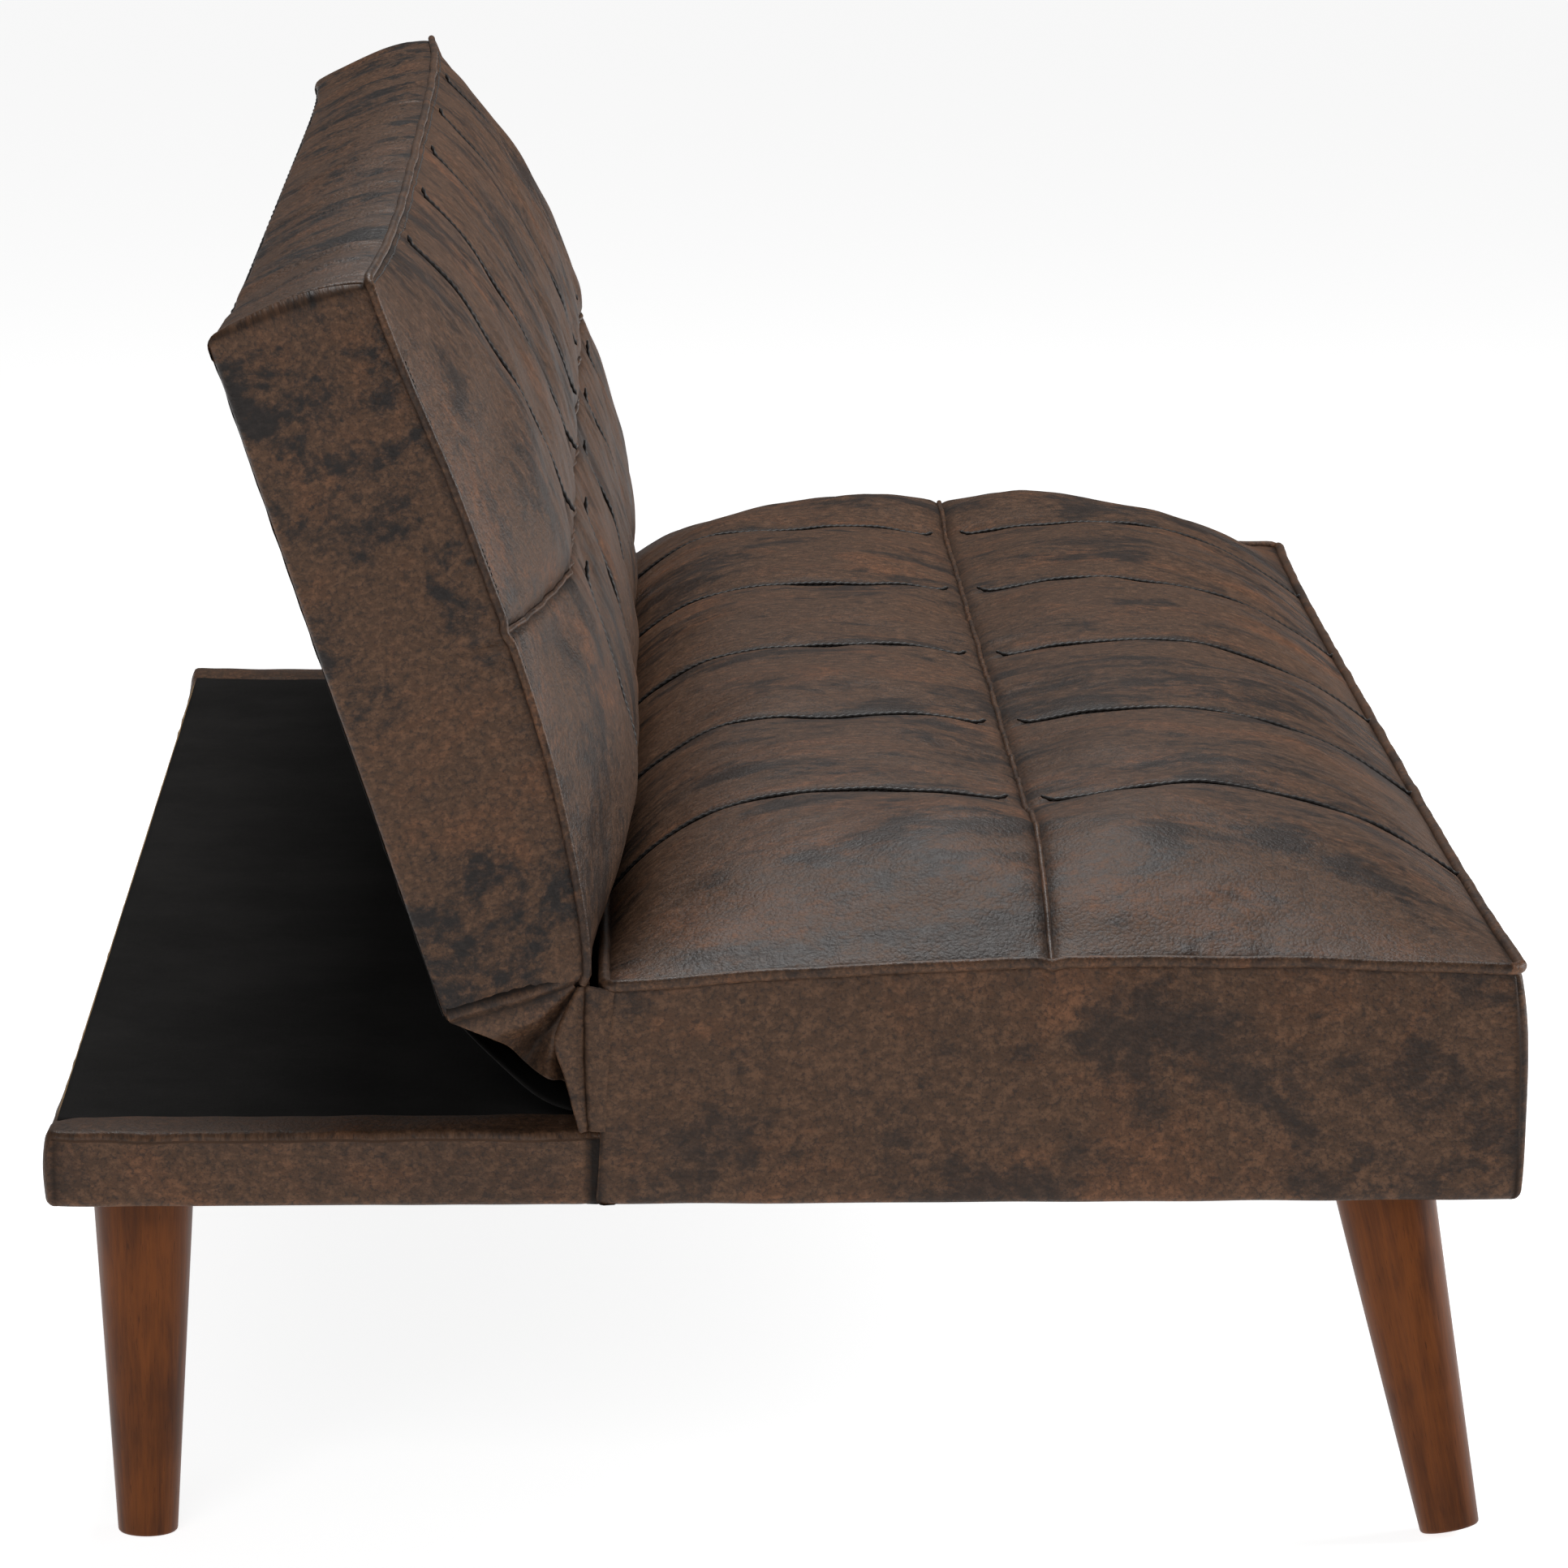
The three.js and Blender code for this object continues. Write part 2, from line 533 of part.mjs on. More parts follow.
function backSoftParts() {
  const knuckleReach = Math.sqrt(Math.max(0, KNUCKLE_R ** 2 - PIVOT_OUT ** 2));
  const slotY = [PIVOT_IN - knuckleReach - KNUCKLE_CLEAR, BACK_FRAME_Y];
  const core = cushion(END_IN - FIT, [
    [COVER + FIT, COVER + FIT],
    [COVER + FIT, BACK_LENGTH - COVER - FIT],
    [BACK_FRAME_Y - GAP, BACK_LENGTH - COVER - FIT - BACK_DROP / 2],
    [BACK_FRAME_Y - GAP, COVER + FIT],
  ], backRise);
  add(backrest, 'back_foam', cut(core, ...hingeSlots(slotY, [0, BACK_FRAME_Y * 2])), foam);

  const outside = cushion(END, backCorners(0, 0), backRise);
  const inside = cushion(END_IN, backCorners(COVER, OVER), backRise);
  const slots = hingeSlots(slotY, [-OVER, COVER + OVER]);
  add(backrest, 'back_cover', cut(outside, inside, ...slots), leatherette);

  const out = PIPING_R + GAP;
  const loop = pipingLoop(END + out, -out, BACK_LENGTH + out).rotateX(Math.PI / 2);
  add(backrest, 'back_piping', loop, leatherette);
  add(backrest, 'back_mid_welt', midWelt(backEdge).translate(0, -WELT_R - WELT_LIFT, 0), leatherette);

  const skin = [
    [BACK_ROOT - CLOTH, COVER + GAP],
    [BACK_ROOT, COVER + GAP],
    [BACK_TIP, BACK_LENGTH - BACK_DROP - COVER - GAP],
    [BACK_TIP - CLOTH, BACK_LENGTH - BACK_DROP - COVER - GAP],
  ];
  add(backrest, 'back_cloth', plate([-END_IN + GAP, END_IN - GAP], skin), blackCloth);
}

// ---- hinges -------------------------------------------------------------------------------------

const around = ([y, z], radius, degrees) => {
  const turn = THREE.MathUtils.degToRad(degrees);
  return [y + radius * Math.cos(turn), z + radius * Math.sin(turn)];
};

function arcPoints(centre, radius, from, to, count) {
  const step = (to - from) / count;
  return Array.from({ length: count + 1 }, (_, i) => around(centre, radius, from + i * step));
}

// The moving arm: a tail screwed to the stile, and a knuckle with ratchet teeth under it.
function armOutline() {
  const teeth = [];
  const step = TOOTH_SWEEP / TEETH;
  for (let i = 0; i < TEETH; i++) {
    const start = TOOTH_FIRST + i * step;
    teeth.push(around(PIVOT_LOCAL, KNUCKLE_R, start));
    teeth.push(around(PIVOT_LOCAL, KNUCKLE_R - TOOTH, start + TOOTH_FLANK * step));
  }
  teeth.push(around(PIVOT_LOCAL, KNUCKLE_R, TOOTH_FIRST + TOOTH_SWEEP));
  const front = BACK_FRAME_Y + ARM_SETBACK;
  const low = BACK_FRAME_LOW + BRACKET_EDGE;
  const high = BACK_FRAME_LOW + ARM_LENGTH;
  return [
    ...teeth,
    [front + ARM_WIDTH, low],
    [front + ARM_WIDTH, high],
    [front, high],
    [front, low + ARM_SHOULDER],
    [PIVOT_IN, PIVOT_LOCAL[1] + KNUCKLE_R + HEAD],
  ];
}

// The fixed bracket: a tail screwed to the side board, and a knuckle and a rest for the pawl's rivet.
function bracketOutline() {
  const rear = HINGE_RAIL_REAR - BRACKET_EDGE;
  const front = rear - BRACKET_TAIL;
  const low = LEDGE_TOP - TIMBER;
  const high = SEAT_WOOD_TOP - BRACKET_EDGE;
  const besidePawl = ([y, z]) => [PAWL_PIVOT[0] + y, PAWL_PIVOT[1] + z];
  return [
    [front, low],
    [rear, low],
    [rear, LEDGE_TOP + TIMBER / 2],
    besidePawl(BRACKET_CHIN),
    besidePawl(BRACKET_NOSE),
    [PIVOT[0] + KNUCKLE_R / 2, PIVOT[1] - KNUCKLE_R * 2],
    ...arcPoints(PIVOT, KNUCKLE_R, -20, 190, 14),
    [SEAT_REAR, PIVOT[1] - KNUCKLE_R],
    [rear, high],
    [front, high],
  ];
}

function pawlOutline() {
  const tipTurn = 90 - PAWL_LEAN;
  const tip = PAWL_REACH - KNUCKLE_R - PAWL_CLEAR;
  return [
    ...arcPoints(PAWL_PIVOT, PAWL_R, tipTurn + PAWL_OPEN, tipTurn + 360 - PAWL_OPEN, 12),
    around(PAWL_PIVOT, tip - PAWL_SHOULDERS[0], tipTurn - PAWL_TAPER),
    around(PAWL_PIVOT, tip, tipTurn),
    around(PAWL_PIVOT, tip - PAWL_SHOULDERS[1], tipTurn + PAWL_TAPER),
  ];
}

// A pin with a head at each end.
function headedPin([y, z], [x0, x1], radius, headRadius) {
  const from = new THREE.Vector3(x0 - GAP - HEAD, y, z);
  const to = new THREE.Vector3(x1 + GAP + HEAD, y, z);
  const length = to.x - from.x;
  return turned(from, to, [
    [0, 0],
    [headRadius, 0],
    [headRadius, HEAD],
    [radius, HEAD],
    [radius, length - HEAD],
    [headRadius, length - HEAD],
    [headRadius, length],
    [0, length],
  ], 20);
}

function hinges() {
  for (const [word, side] of SIDES) {
    const arm = onSide(side, ARM_X);
    const bracket = onSide(side, BRACKET_X);
    const across = [Math.min(arm[0], bracket[0]), Math.max(arm[1], bracket[1])];
    const pinHole = PIN_R + RUN;
    const rivetHole = RIVET_R + RUN;
    add(backrest, `hinge_arm_${word}`, plate(arm, armOutline(), [[PIVOT_LOCAL, pinHole]]), steel);
    add(sofa, `hinge_bracket_${word}`,
      plate(bracket, bracketOutline(), [[PIVOT, pinHole], [PAWL_PIVOT, rivetHole]]), steel);
    add(sofa, `hinge_pin_${word}`, headedPin(PIVOT, across, PIN_R, PIN_HEAD_R), steel);
    add(sofa, `pawl_${word}`, plate(arm, pawlOutline(), [[PAWL_PIVOT, rivetHole]]), steel);
    add(sofa, `pawl_rivet_${word}`, headedPin(PAWL_PIVOT, across, RIVET_R, RIVET_HEAD_R), steel);
  }
}

// ---- webs that close the hinge gap --------------------------------------------------------------

function webs() {
  const under = (y) => backToRow([y, -WEB_CLEAR]);
  const beyond = ([out, up]) => [SEAT_REAR + out, LEDGE_TOP + up];
  const foot = beyond([WEB_CLEAR, WEB_CLEAR]);
  const endWeb = [
    [foot[0], under(WEB)[1] - PIPING_OUT - GAP],
    foot,
    beyond(GUSSET_LOW),
    beyond(GUSSET_HIGH),
    under(BACK_ROOT - PIPING_OUT),
    under(PIPING_OUT + WEB),
  ];
  const gussetX = [END - WEB_INSET - WEB, END - WEB_INSET];
  for (const [word, side] of SIDES) {
    add(sofa, `gusset_${word}`, plate(onSide(side, gussetX), endWeb), leatherette);
  }
  const slack = [
    [foot[0] + SLACK_THICK / 2, foot[1]],
    [foot[0] + SLACK_THICK * 1.5, foot[1]],
    beyond(SLACK),
    under(BACK_ROOT - WEB_SEAM),
    under(BACK_ROOT - WEB_SEAM * 2),
    beyond([SLACK[0] - SLACK_THICK, SLACK[1] + SLACK_THICK]),
  ];
  const webX = ARM_X[0] - GAP - HEAD - WEB_SEAM;
  add(sofa, 'hinge_web', plate([-webX, webX], slack), blackCloth);
}

baseFrame();
seatSlats();
legsAndBolts();
ledge();
seat();
backFrame();
backSoftParts();
hinges();
webs();

export default sofa;
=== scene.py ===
import json
import math

import bmesh
import bpy
import numpy as np
from bpy.props import FloatProperty, FloatVectorProperty, PointerProperty
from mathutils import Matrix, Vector


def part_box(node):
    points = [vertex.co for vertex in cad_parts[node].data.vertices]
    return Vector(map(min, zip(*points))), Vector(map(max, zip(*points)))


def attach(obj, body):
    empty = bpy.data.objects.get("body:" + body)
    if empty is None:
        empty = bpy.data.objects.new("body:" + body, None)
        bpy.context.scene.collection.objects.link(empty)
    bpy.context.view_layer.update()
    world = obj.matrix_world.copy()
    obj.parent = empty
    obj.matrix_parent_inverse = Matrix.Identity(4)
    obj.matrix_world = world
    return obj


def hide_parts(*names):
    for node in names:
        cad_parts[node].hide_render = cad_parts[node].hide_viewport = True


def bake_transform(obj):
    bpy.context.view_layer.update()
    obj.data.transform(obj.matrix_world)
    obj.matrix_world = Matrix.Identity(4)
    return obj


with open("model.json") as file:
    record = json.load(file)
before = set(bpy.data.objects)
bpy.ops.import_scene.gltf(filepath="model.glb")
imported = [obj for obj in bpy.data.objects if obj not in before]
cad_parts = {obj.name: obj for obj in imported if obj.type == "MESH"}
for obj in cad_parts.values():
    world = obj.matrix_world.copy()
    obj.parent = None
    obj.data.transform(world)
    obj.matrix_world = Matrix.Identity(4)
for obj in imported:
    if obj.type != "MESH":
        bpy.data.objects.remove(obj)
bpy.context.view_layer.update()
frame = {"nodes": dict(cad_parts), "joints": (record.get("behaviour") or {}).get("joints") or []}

bl_info = {
    "name": "Futon sofa bed",
    "version": (1, 0, 0),
    "blender": (4, 5, 0),
    "location": "View3D > Sidebar > Sofa",
    "description": "Channelled leatherette covers, legs and cloths for a folding sofa bed",
    "category": "Add Mesh",
}

MM = 0.001
SIDES = (("left", -1), ("right", 1))
HINGE = Vector(next(j for j in frame["joints"] if j["name"] == "backrest_recline")["pos_m"])
BASE_LOW, BASE_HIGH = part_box("seat_cover")
LEDGE_LOW, LEDGE_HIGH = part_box("ledge_band")
END = BASE_HIGH.x  # outer face of the covers
FLOOR_GAP = BASE_LOW.z
SEAM_BACK = 0.010  # the seat's cover ends this far behind its rear rim, at the base
X = np.array([1.0, 0, 0])

# Distances from a rim, a channel's seam and a welt at which a panel has closer points, and how far
# from a seam or welt the even points begin.
RIM_STEPS = (0, 0.0014, 0.003, 0.0052, 0.008)
SEAM_STEPS, SEAM_CLEAR = (0, 0.0009, 0.0018, 0.0028, 0.0042, 0.0065), 0.0085
WELT_STEPS, WELT_CLEAR = (0, 0.0012, 0.0025, 0.0042, 0.0068), 0.009
LIP = ((0.006, 0.0), (0.0085, 0.0012), (0.0095, 0.0055))  # inwards and up, under a border's edge

FILL_PER_CHANNEL, FILL_PER_HALF = 26, 20  # points of the simulated panel
FILL_FRAMES, FILL_PRESSURE, FILL_MOST = 20, 4, 0.022

PIPING_OUT, PIPING_LIFT, PIPING_SIDES, PIPING_STEP = 0.0020, 0.0004, 14, 0.0032
WELT_RADIUS, WELT_LIFT, WELT_SIDES, WELT_POINTS, WELT_PAST = 0.0018, 0.0008, 12, 491, 0.001
THREAD_RADIUS, THREAD_PITCH, THREAD_LIFT = 0.0012, 0.005, 0.0063  # lift is from the groove's bottom
STITCH_LENGTH, STITCH_GAP, STITCH_RADIUS, STITCH_INSET = 0.0026, 0.001, 0.0004, 0.005
CLOTH_THICK, WEB_THICK, GUSSET_THICK = 0.0005, 0.0006, 0.0011

CAMERA_PLACE = (-5.2615, 0.1001, 1.23675)
CAMERA_YAW, CAMERA_PITCH = math.radians(-1.27), math.radians(10.02)
FLOOR_REACH = 30.0


# ---- the sizes and colours a user would change ---------------------------------------------------

def length(name, description, value):
    return FloatProperty(name=name, description=description, default=value, unit="LENGTH",
                         subtype="DISTANCE", precision=4)


def colour(name, description, value):
    return FloatVectorProperty(name=name, description=description, default=value, size=3, min=0,
                               max=1, subtype="COLOR")


class SofaCushions(bpy.types.PropertyGroup):
    channel: length("Channel", "Width of each sewn channel", 0.280)
    puff: length("Puff", "How far a channel stands above its seams", 0.0075)
    seam_depth: length("Seam depth", "Depth of a channel's seam", 0.0060)
    seam_width: length("Seam width", "Half width of a channel's seam", 0.0040)
    pucker: length("Pucker", "Height of the gathers along the piping", 0.0021)
    seat_rim_front: length("Seat rim, front", "Seat piping above the base, at the front", 0.136)
    seat_rim_rear: length("Seat rim, rear", "Seat piping above the base, at the hinge", 0.128)
    seat_crown: length("Seat crown", "How far the seat rises above its piping", 0.062)
    seat_piping: length("Seat piping", "Radius of the seat's piping", 0.0036)
    back_crown: length("Back crown", "How far the backrest stands out from its piping", 0.058)
    back_length: length("Back length", "Length of the backrest's front face", 0.422)
    back_piping: length("Back piping", "Radius of the backrest's piping", 0.0026)
    back_tilt: FloatProperty(name="Back tilt", description="Front face, from upright",
                             default=math.radians(16.6), subtype="ANGLE")
    fine: length("Fine step", "Distance between points of the covers", 0.0046)


class SofaFinish(bpy.types.PropertyGroup):
    leather: colour("Leatherette", "Its middle brown", (0.092, 0.048, 0.027))
    leather_dark: colour("Dark patches", "Where the finish has darkened", (0.014, 0.0115, 0.0110))
    leather_warm: colour("Warm patches", "Where the top coat has rubbed thin", (0.150, 0.064, 0.030))
    cloth: colour("Cloth", "Non-woven cloth out of sight", (0.0170, 0.0158, 0.0152))
    wood: colour("Leg wood", "Its light grain", (0.150, 0.042, 0.007))
    wood_dark: colour("Leg wood, dark", "Its dark grain", (0.060, 0.016, 0.003))
    thread: colour("Thread", "Seams and topstitching", (0.010, 0.007, 0.006))
    timber: colour("Frame timber", "Boards inside the covers", (0.42, 0.27, 0.13))
    steel: colour("Hinge steel", "Plates, pins and bolts", (0.33, 0.34, 0.36))


class SofaStudio(bpy.types.PropertyGroup):
    floor: colour("Floor", "Pale floor", (0.6, 0.6, 0.6))
    key: FloatProperty(name="Key light", description="Power of the front light", default=120)
    fill: FloatProperty(name="Fill light", description="Power of the end light", default=48)
    top: FloatProperty(name="Top light", description="Power of the overhead light", default=85)
    room: FloatProperty(name="Room light", description="Strength of the surroundings", default=0.13)
    glow: FloatProperty(name="Floor glow", description="Light of the floor itself", default=0.85)
    lens: FloatProperty(name="Lens", description="Focal length in millimetres", default=181.65)


# ---- small sums ----------------------------------------------------------------------------------

def smooth(value, low, high):
    t = np.clip((value - low) / (high - low), 0, 1)
    return t * t * (3 - 2 * t)


def ripple(seed, along, wave, count=6):
    """Waves along a line that never quite repeat, mostly between -1 and 1."""
    rng = np.random.default_rng(seed)
    total = np.zeros_like(along)
    for _ in range(count):
        size = wave * rng.uniform(0.62, 1.6)
        total = total + np.sin(along * 2 * np.pi / size + rng.uniform(0, 6.28))
    return total / math.sqrt(count)


def drift(seed, x, y, wave, count=7):
    """The same over a surface."""
    rng = np.random.default_rng(seed)
    total = np.zeros_like(x * y)
    for _ in range(count):
        turn = rng.uniform(0, 2 * np.pi)
        size = wave * rng.uniform(0.6, 1.7)
        total = total + np.sin((x * math.cos(turn) + y * math.sin(turn)) * 2 * np.pi / size
                               + rng.uniform(0, 6.28))
    return total / math.sqrt(count)


def stations(low, high, step, marks, offsets):
    """Even stations from low to high, with closer ones on both sides of each mark."""
    close = {round(m + way * d, 7) for m in marks for d in offsets for way in (-1, 1)}
    close = sorted(c for c in close if low <= c <= high)
    even = np.linspace(low, high, int(round((high - low) / step)) + 1)
    kept = [e for e in even if min(abs(e - c) for c in close) > step * 0.45]
    return np.array(sorted({*close, *kept}))


def beside(even, marks, offsets, clear):
    """Stations with those nearer to a mark than clear replaced by closer ones on both its sides."""
    if not marks:
        return even
    kept = [v for v in even if min(abs(v - m) for m in marks) > clear]
    close = [m + way * d for m in marks for d in offsets for way in (-1, 1)]
    return np.array(sorted({round(v, 7) for v in (*kept, *close)}))


def weights(at, count):
    """Catmull-Rom weights that read count even samples at the given places."""
    at = np.clip(at, 0, count - 1 - 1e-9)
    first = np.floor(at).astype(int)
    f = at - first
    table = np.zeros((len(at), count))
    terms = ((-1, -0.5 * f + f**2 - 0.5 * f**3), (0, 1 - 2.5 * f**2 + 1.5 * f**3),
             (1, 0.5 * f + 2 * f**2 - 1.5 * f**3), (2, -0.5 * f**2 + 0.5 * f**3))
    for step, weight in terms:
        np.add.at(table, (np.arange(len(at)), np.clip(first + step, 0, count - 1)), weight)
    return table


def unit(vectors):
    return vectors / np.maximum(np.linalg.norm(vectors, axis=-1, keepdims=True), 1e-12)


# ---- meshes --------------------------------------------------------------------------------------

def new_piece(name, points, faces, materials, kinds=None, values=None, smooth_faces=True):
    """A mesh object; kinds gives each face's material, and values the surface values it carries."""
    mesh = bpy.data.meshes.new(name)
    mesh.from_pydata(np.asarray(points).reshape(-1, 3).tolist(), [], faces)
    for material in materials:
        mesh.materials.append(material)
    if kinds is not None:
        mesh.polygons.foreach_set("material_index", np.asarray(kinds, np.int32))
    if smooth_faces:
        mesh.polygons.foreach_set("use_smooth", np.ones(len(mesh.polygons), bool))
    for key, value in (values or {}).items():
        value = np.asarray(value, np.float32)
        kind = "FLOAT_VECTOR" if value.ndim == 2 else "FLOAT"
        attribute = mesh.attributes.new(key, kind, "POINT")
        attribute.data.foreach_set("vector" if value.ndim == 2 else "value", value.ravel())
    mesh.update()
    piece = bpy.data.objects.new(name, mesh)
    bpy.context.scene.collection.objects.link(piece)
    return piece


def grid_faces(rows, columns, turned=False):
    """Faces of a grid whose points run along each row in turn; turned ones face the other way."""
    a = (np.arange(rows - 1)[:, None] * columns + np.arange(columns - 1)[None, :]).ravel()
    corners = (0, columns, columns + 1, 1) if turned else (0, 1, columns + 1, columns)
    return (a[:, None] + np.array(corners)).tolist()


def rim_of(rows, columns):
    """Rows and columns of a grid's points, once round its rim."""
    i = np.concatenate([np.arange(rows), np.full(columns - 1, rows - 1), np.arange(rows - 2, -1, -1),
                        np.zeros(columns - 2, int)])
    j = np.concatenate([np.zeros(rows, int), np.arange(1, columns), np.full(rows - 1, columns - 1),
                        np.arange(columns - 2, 0, -1)])
    return i, j


def ring_faces(rings, count, start=0):
    """Faces between closed rings of count points each."""
    p = np.arange(count)
    q = (p + 1) % count
    faces = []
    for k in range(rings - 1):
        a, b = start + k * count, start + (k + 1) * count
        faces += np.stack([a + p, b + p, b + q, a + q], 1).tolist()
    return faces


def tube(path, across, up, radius, closed, sides=12):
    """Points and faces of a cord along a path; across and up span its section. The radius is one
    number, or one for each point of the path, or one for each point of each ring."""
    turn = np.linspace(0, 2 * np.pi, sides, endpoint=False)
    radius = np.asarray(radius, float)
    if radius.ndim < 2:
        radius = np.broadcast_to(radius, (len(path),))[:, None]
    ring = (across[:, None, :] * np.cos(turn)[None, :, None]
            + up[:, None, :] * np.sin(turn)[None, :, None])
    points = (path[:, None, :] + ring * radius[:, :, None]).reshape(-1, 3)
    faces = [f[::-1] for f in ring_faces(len(path), sides)]
    if closed:
        p = np.arange(sides)
        q = (p + 1) % sides
        last = (len(path) - 1) * sides
        faces += np.stack([last + p, last + q, q, p], 1).tolist()
    else:
        faces += [list(range(sides))[::-1], [(len(path) - 1) * sides + i for i in range(sides)]]
    return points, faces


def side_frames(path, up, closed=False):
    """Unit vectors across a path and up from it, square to its line."""
    if closed:
        way = np.roll(path, -1, 0) - np.roll(path, 1, 0)
    else:
        way = np.gradient(path, axis=0)
    way = unit(way)
    up = unit(up - way * np.sum(up * way, 1, keepdims=True))
    return np.cross(up, way), up, way


def joined(parts):
    """Several (points, faces) as one."""
    points, faces, start = [], [], 0
    for some_points, some_faces in parts:
        points.append(some_points)
        faces += [[i + start for i in face] for face in some_faces]
        start += len(some_points)
    return np.concatenate(points), faces


def line_lengths(path):
    return np.concatenate([[0], np.cumsum(np.linalg.norm(np.diff(path, axis=0), axis=1))])


def along_path(path, at, *others):
    """The path, and anything given at its points, read at distances along it."""
    where = line_lengths(path)
    read = [np.stack([np.interp(at, where, v[:, i]) for i in range(3)], 1) for v in (path, *others)]
    return read if others else read[0]


def twisted_thread(path, up, radius, pitch):
    """A two-ply thread along a path."""
    total = line_lengths(path)[-1]
    count = max(8, int(total / 0.0011))
    at = np.linspace(0, total, count)
    line, lift = along_path(path, at, up)
    across, lift, _ = side_frames(line, lift)
    sides = 8
    turn = np.linspace(0, 2 * np.pi, sides, endpoint=False)
    lobes = 1 + 0.30 * np.cos(2 * (turn[None, :] - at[:, None] * np.pi / pitch))
    thin = np.sin(np.pi * np.clip(np.minimum(at, total - at) / 0.006, 0, 0.5))
    size = radius * lobes * (0.35 + 0.65 * thin)[:, None]
    return tube(line, across, lift, size, False, sides)


def stitches(path, up, size, gap, radius):
    """Short stitches end to end along a path."""
    total = line_lengths(path)[-1]
    parts = []
    bulge = np.array([0.25, 0.85, 1.0, 0.85, 0.25])
    spread = np.array([-0.5, -0.34, 0, 0.34, 0.5])
    for start in np.arange(gap, total - size - gap, size + gap):
        at = start + size * (spread + 0.5)
        line, lift = along_path(path, at, up)
        across, lift, _ = side_frames(line, lift)
        parts.append(tube(line + lift * (bulge - 1)[:, None] * radius, across, lift, bulge * radius,
                          False, 6))
    return joined(parts)


# ---- upholstered blocks --------------------------------------------------------------------------

class Block:
    """An upholstered block: a panel in x and s, borders round it that go down to a far face, and a lip.

    The panel lies at origin + x X + s S + lift N. Each kind of block says how its panel rises, how
    deep it is, and how its sides bulge or pull in."""

    corners = (0.009, 0.009)  # radius of the panel's corners, at s = 0 and at the other end
    far_corners = (0.006, 0.006)
    far_round = 0.005
    marks = ()
    welt = None
    border_rows = 22

    def __init__(self, origin, S, N, half, length):
        self.origin, self.S, self.N = (np.array(v, float) for v in (origin, S, N))
        self.half, self.length = half, length

    def place(self, x, s, lift):
        x, s, lift = np.broadcast_arrays(x, s, lift)
        return (self.origin + x[..., None] * X + s[..., None] * self.S
                + lift[..., None] * self.N)

    def lift(self, x, s):
        return np.zeros_like(x * s)

    def depth(self, s):
        raise NotImplementedError

    def waist(self, across, along):
        """How far the panel's edges pull in, in x and s."""
        return 0 * across, 0 * along

    def far_length(self):
        return self.length

    def far_waist(self, across, along):
        return self.waist(across, along)

    def bulge(self, out_x, out_s):
        return 0.003 * np.ones_like(out_x)

    def outline(self, x, s, total, waist, corners):
        """Plan places with pulled-in edges and rounded corners, for s from 0 to length."""
        across, along = x / self.half, s / self.length
        corner = np.where(along < 0.5, *corners)
        s = along * total
        in_x, in_s = waist(across, along)
        edge_x = self.half - np.abs(x)
        edge_s = np.minimum(s, total - s)
        dx, ds = corner - edge_x, corner - edge_s
        near = (dx > 0) & (ds > 0)
        far = np.maximum(np.hypot(dx, ds), 1e-9)
        pull = np.where(near, np.maximum(dx, ds) / far, 1)
        x = np.where(near, np.sign(x) * (self.half - corner + dx * pull), x)
        s = np.where(near, np.where(along < 0.5, corner - ds * pull, total - corner + ds * pull), s)
        return x - in_x, s - in_s

    def columns(self, step):
        inner = stations(-self.half, self.half, step, (-self.half, self.half), RIM_STEPS)
        return beside(inner, self.marks, SEAM_STEPS, SEAM_CLEAR)

    def rows(self, step):
        inner = stations(0, self.length, step, (0, self.length), RIM_STEPS)
        return beside(inner, () if self.welt is None else (self.welt,), WELT_STEPS, WELT_CLEAR)

    def moved(self, x, s):
        """Extra movement of the panel, in x, s and lift."""
        return np.zeros((len(x), len(s), 3))

    # Painted shade of the panel, from 0 to 1, where shade falls in its grooves and folds; a plain block
    # has none.
    def crease_shades(self, x, s):
        return np.zeros((len(x), len(s)))

    def wear(self, x, s):
        edge = np.minimum(self.half - np.abs(x)[:, None], np.minimum(s, self.length - s)[None, :])
        return np.exp(-edge / 0.016)

    def border_detail(self, run, down, out_x, out_s, rim_x, rim_s):
        """Small waves of the border, and its painted shade, by distance round it and distance from the
        rim.
        """
        return 0 * run * down, 0 * run * down

    def ears(self, x, s, total):
        """Movement of the far face's corners: outwards in x, in s, and away from the panel."""
        return 0 * x, 0 * x, 0 * x

    def make(self, name, materials, step):
        x, s = self.columns(step), self.rows(step)
        nx, ns = len(x), len(s)
        grid_x, grid_s = np.meshgrid(x, s, indexing="ij")
        plan_x, plan_s = self.outline(grid_x, grid_s, self.length, self.waist, self.corners)
        extra = self.moved(x, s)
        lift = self.lift(grid_x, grid_s) + extra[..., 2]
        top = self.place(plan_x + extra[..., 0], plan_s + extra[..., 1], lift)

        i, j = rim_of(nx, ns)
        rim = top[i, j]
        rim_x, rim_s = plan_x[i, j], plan_s[i, j]
        tangent = unit(np.stack([np.roll(rim_x, -1) - np.roll(rim_x, 1),
                                 np.roll(rim_s, -1) - np.roll(rim_s, 1)], 1))
        out_x, out_s = tangent[:, 1], -tangent[:, 0]
        outward = out_x[:, None] * X + out_s[:, None] * self.S
        run = line_lengths(np.concatenate([rim, rim[:1]]))[:-1]

        total = self.far_length()
        far_x, far_s = self.outline(grid_x[i, j], grid_s[i, j], total, self.far_waist, self.far_corners)
        depth = self.depth(grid_s[i, j])
        ear_x, ear_s, ear_down = self.ears(far_x, far_s, total)
        far = self.place(far_x + ear_x, far_s + ear_s, -depth - ear_down)

